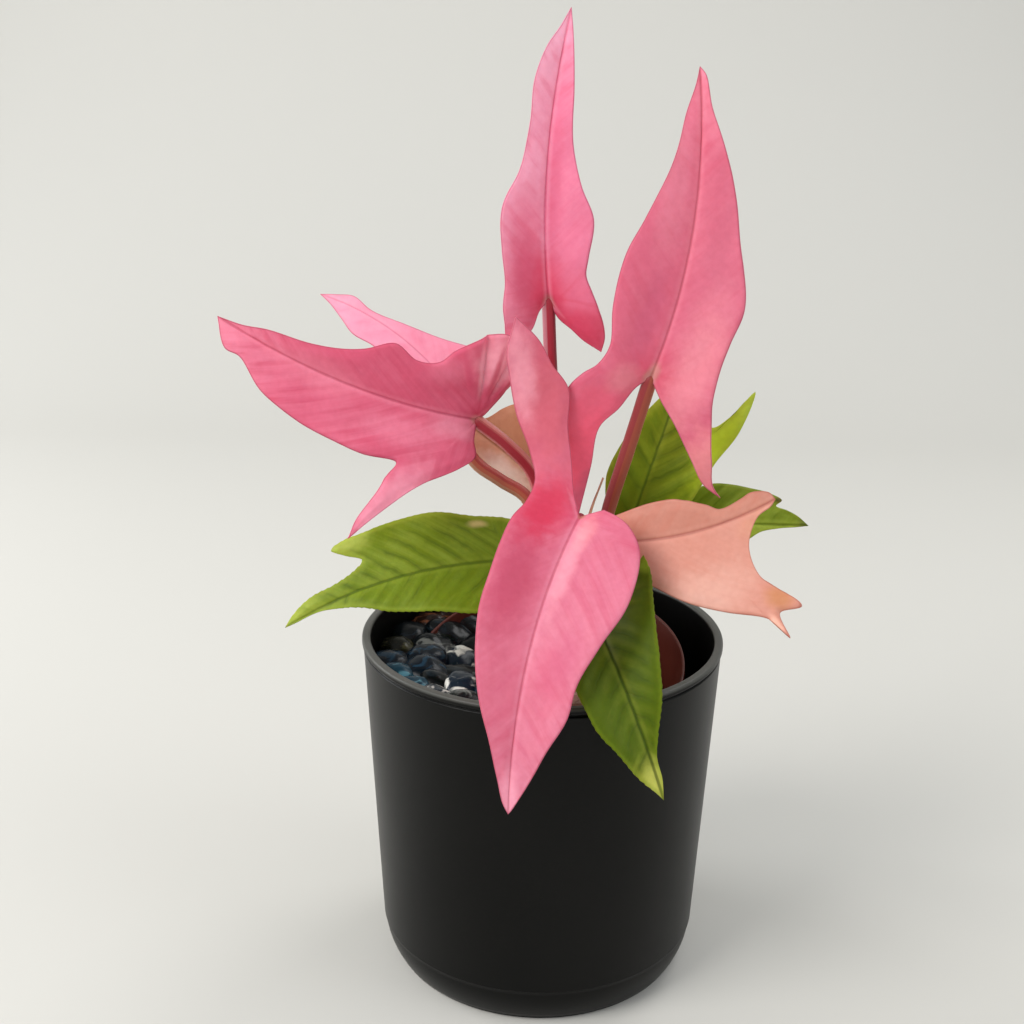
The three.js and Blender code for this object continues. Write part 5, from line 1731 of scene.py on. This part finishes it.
@dataclass
class Studio:
    """A pale sheet that sweeps up behind the plant, soft lights and an even sky, in metres."""

    half_width: float = 5.0
    front: float = -5.0
    wall_distance: float = 1.15
    wall_height: float = 3.0
    bend: float = 0.5
    bend_steps: int = 24
    colour: int = 0xC8C6C0
    lamps: tuple[Lamp, ...] = (
        Lamp("window", (-0.95, -0.75, 1.15), (0.0, 0.0, 0.16), 0.9, 17.5, (1.0, 0.985, 0.96)),
        Lamp("fill", (1.2, -0.5, 0.8), (0.0, 0.0, 0.12), 1.0, 5.5, (0.97, 0.985, 1.0)),
        Lamp("rim", (0.5, 0.5, 0.9), (0.0, 0.0, 0.15), 0.5, 3.0, (1.0, 1.0, 1.0)),
        Lamp("side", (-1.05, 0.3, 0.4), (0.0, 0.0, 0.12), 0.7, 7.5, (0.97, 0.985, 1.0)),
    )

    def build(self) -> None:
        """Makes the sheet, the lights and the sky."""
        self._sweep()
        for lamp in self.lamps:
            lamp.build()
        sky = bpy.data.worlds.new("sky")
        sky.use_nodes = True
        background = sky.node_tree.nodes["Background"]
        background.inputs["Color"].default_value = (0.92, 0.96, 1.0, 1.0)
        background.inputs["Strength"].default_value = 0.62
        bpy.context.scene.world = sky

    def _section(self) -> list[tuple[float, float]]:
        """Returns the sheet's (y, z) section from the front edge to the top of the wall."""
        section = [(self.front, 0.0)]
        for step in range(self.bend_steps + 1):
            turn = 0.5 * math.pi * step / self.bend_steps
            along = self.wall_distance - self.bend + self.bend * math.sin(turn)
            section.append((along, self.bend * (1.0 - math.cos(turn))))
        return section + [(self.wall_distance, self.wall_height)]

    def _sweep(self) -> bpy.types.Object:
        """Makes the sheet, as wide as the studio."""
        bm = bmesh.new()
        points = [bm.verts.new((-self.half_width, y, z)) for y, z in self._section()]
        edges = [bm.edges.new(pair) for pair in zip(points, points[1:])]
        swept = bmesh.ops.extrude_edge_only(bm, edges=edges)["geom"]
        moved = [g for g in swept if isinstance(g, bmesh.types.BMVert)]
        bmesh.ops.translate(bm, vec=(2.0 * self.half_width, 0.0, 0.0), verts=moved)
        bmesh.ops.recalc_face_normals(bm, faces=bm.faces)
        sketch = ShaderSketch("sweep")
        sketch.dress(Base_Color=linear_colour(self.colour), Roughness=0.7, Specular_IOR_Level=0.25)
        return smooth_object("sweep", bm, (sketch.material,))


# ---- The whole plant ----

TINT_FINISHES = {
    StalkTint.RED: StalkFinish(0xA8545A, 0x8E2436, 0xB86A62, 0xC07868, 0xB89C7C),
    StalkTint.BROWN: StalkFinish(0x8A3C34, 0xA45C4C, 0xC08870, 0xC8947C, 0xB89C7C),
    StalkTint.GREEN: StalkFinish(0x7C7A3A, 0x94904A, 0xA89C5A, 0xB0A468, 0xB0A070),
}
STALK_FINISHES = {
    "pink_top": StalkFinish(0xB4707A, 0xA4283A, 0x801C2C, 0xB45058, 0xB89C7C, (-0.35, 0.75)),
    "pink_right": StalkFinish(0x8C2E32, 0x984634, 0xDCA890, 0xA45440, 0xB89C7C, (-0.15, 0.9)),
    "pink_left": StalkFinish(0xB05C5C, 0x921C2A, 0xBC7068, 0xA83C44, 0xB89C7C, (-0.6, 0.55)),
    "pink_back": StalkFinish(0xB07A5C, 0xB05A40, 0xA44038, 0xC07C60, 0xB89C7C, (-0.3, 0.3)),
}


@dataclass
class ArrowheadPlant:
    """The whole object: the two pots, stones, soil, young leaf and leaves."""

    leaves: Sequence[LeafShape]

    def build(self) -> None:
        """Makes every piece in order, from the pot up."""
        nursery = NurseryPot()
        for part in (Cachepot(), nursery, Soil(nursery), PebbleHeap(), YoungLeaf()):
            part.build()
        for shape in self.leaves:
            Petiole(shape, STALK_FINISHES.get(shape.name, TINT_FINISHES[shape.stalk.tint])).build()
            Blade(shape, LOOKS[shape.name]).build()


def main() -> None:
    """Builds the camera, the plant and the studio."""
    logging.basicConfig(level=logging.INFO, format="%(message)s")
    Viewpoint().build()
    ArrowheadPlant(LEAVES).build()
    Studio().build()
    bpy.context.scene.view_settings.view_transform = "Standard"


if __name__ == "__main__":
    main()
